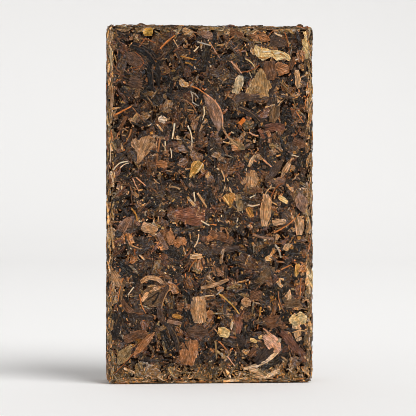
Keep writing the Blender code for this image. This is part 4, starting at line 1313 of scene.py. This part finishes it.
def bowlMatter():
    # Pale paper, with painted shade making it a little darker towards the wall and painted light making it
    # paler to the right
    material, tree, shader = newMatter("paleFloor", studio["roughness"], studio["specular"])
    place = addNode(tree, "ShaderNodeTexCoord").outputs["Object"]
    shade = addRange(tree, addVector(tree, "LENGTH", place), studio["shadeFrom"], studio["shadeTo"],
                     studio["floorShade"], studio["wallShade"])
    shade = addMath(tree, "MULTIPLY_ADD", addParts(tree, place)["X"], studio["rightPaler"], shade)
    tree.links.new(addVector(tree, "SCALE", studio["floorTint"], shade), shader.inputs["Base Color"])
    return material


def paleBowl():
    # A round floor that curves up into a low wall all the way round
    reach, radius, steps = studio["floorReach"], studio["sweepRadius"], studio["sweepSteps"]
    outline = [(0.0, 0.0), (reach, 0.0)]
    for step in range(1, steps + 1):
        angle = math.pi / 2 * step / steps
        outline.append((reach + radius * math.sin(angle), radius * (1 - math.cos(angle))))
    outline.append((reach + radius, studio["wallTop"]))
    bowl = bmesh.new()
    profile = [bowl.verts.new((away, 0, rise)) for away, rise in outline]
    edges = [bowl.edges.new(pair) for pair in zip(profile, profile[1:])]
    bmesh.ops.spin(bowl, geom=profile + edges, axis=(0, 0, 1), cent=(0, 0, 0), steps=studio["turnSteps"],
                   angle=2 * math.pi)
    bmesh.ops.remove_doubles(bowl, verts=bowl.verts, dist=0.1 * mm)
    bmesh.ops.recalc_face_normals(bowl, faces=bowl.faces)
    mesh = bpy.data.meshes.new("paleBowl")
    bowl.to_mesh(mesh)
    bowl.free()
    mesh.shade_smooth()
    mesh.materials.append(bowlMatter())
    addObject("paleBowl", mesh)


def addLight(name, kind, place, power):
    # A lamp that shines from a place towards the brick's middle
    lamp = bpy.data.lights.new(name, kind)
    lamp.energy = power
    made = addObject(name, lamp)
    made.location = place
    made.rotation_euler = (blockMiddle - Vector(place)).to_track_quat("-Z", "Y").to_euler()
    return lamp


def studioLight():
    world = bpy.data.worlds.new("studioWorld")
    world.use_nodes = True
    background = world.node_tree.nodes["Background"]
    background.inputs["Color"].default_value = studio["worldTint"]
    background.inputs["Strength"].default_value = studio["worldLight"]
    bpy.context.scene.world = world
    key = addLight("softSun", "SUN", studio["sunWay"], studio["sunPower"])
    key.angle = math.radians(studio["sunSpread"])
    fill = addLight("fillLight", "AREA", studio["fillPlace"], studio["fillPower"])
    fill.shape, fill.size = "SQUARE", studio["fillSize"]


view = {
    "distance": 0.650, "yaw": 4.2, "height": 0.0733, "right": 1.05 * mm,
    "frameHeight": 173.4 * mm,  # what the picture shows at the brick's front
    "sensor": 36.0, "nearest": 0.01, "farthest": 20.0,
    "filterWidth": 0.85,  # of a pixel
}


def studioCamera():
    # Level with the brick's middle, a little to its left
    data = bpy.data.cameras.new("camera")
    data.sensor_width = view["sensor"]
    data.lens = view["sensor"] * view["distance"] / view["frameHeight"]
    data.clip_start, data.clip_end = view["nearest"], view["farthest"]
    camera = addObject("camera", data)
    angle = math.radians(view["yaw"])
    camera.location = (-math.sin(angle) * view["distance"] - view["right"],
                       -halfSize.y - math.cos(angle) * view["distance"], view["height"])
    camera.rotation_euler = (math.pi / 2, 0, -angle)
    bpy.context.scene.camera = camera


paleBowl()
studioLight()
studioCamera()
bpy.context.scene.view_settings.view_transform = "Standard"
bpy.context.scene.view_settings.look = "None"
bpy.context.scene.cycles.filter_width = view["filterWidth"]

for piece in [corePiece] + scatteredPieces + shownPieces:
    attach(piece, "root")
    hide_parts("tea_brick")

print("brick dressed")
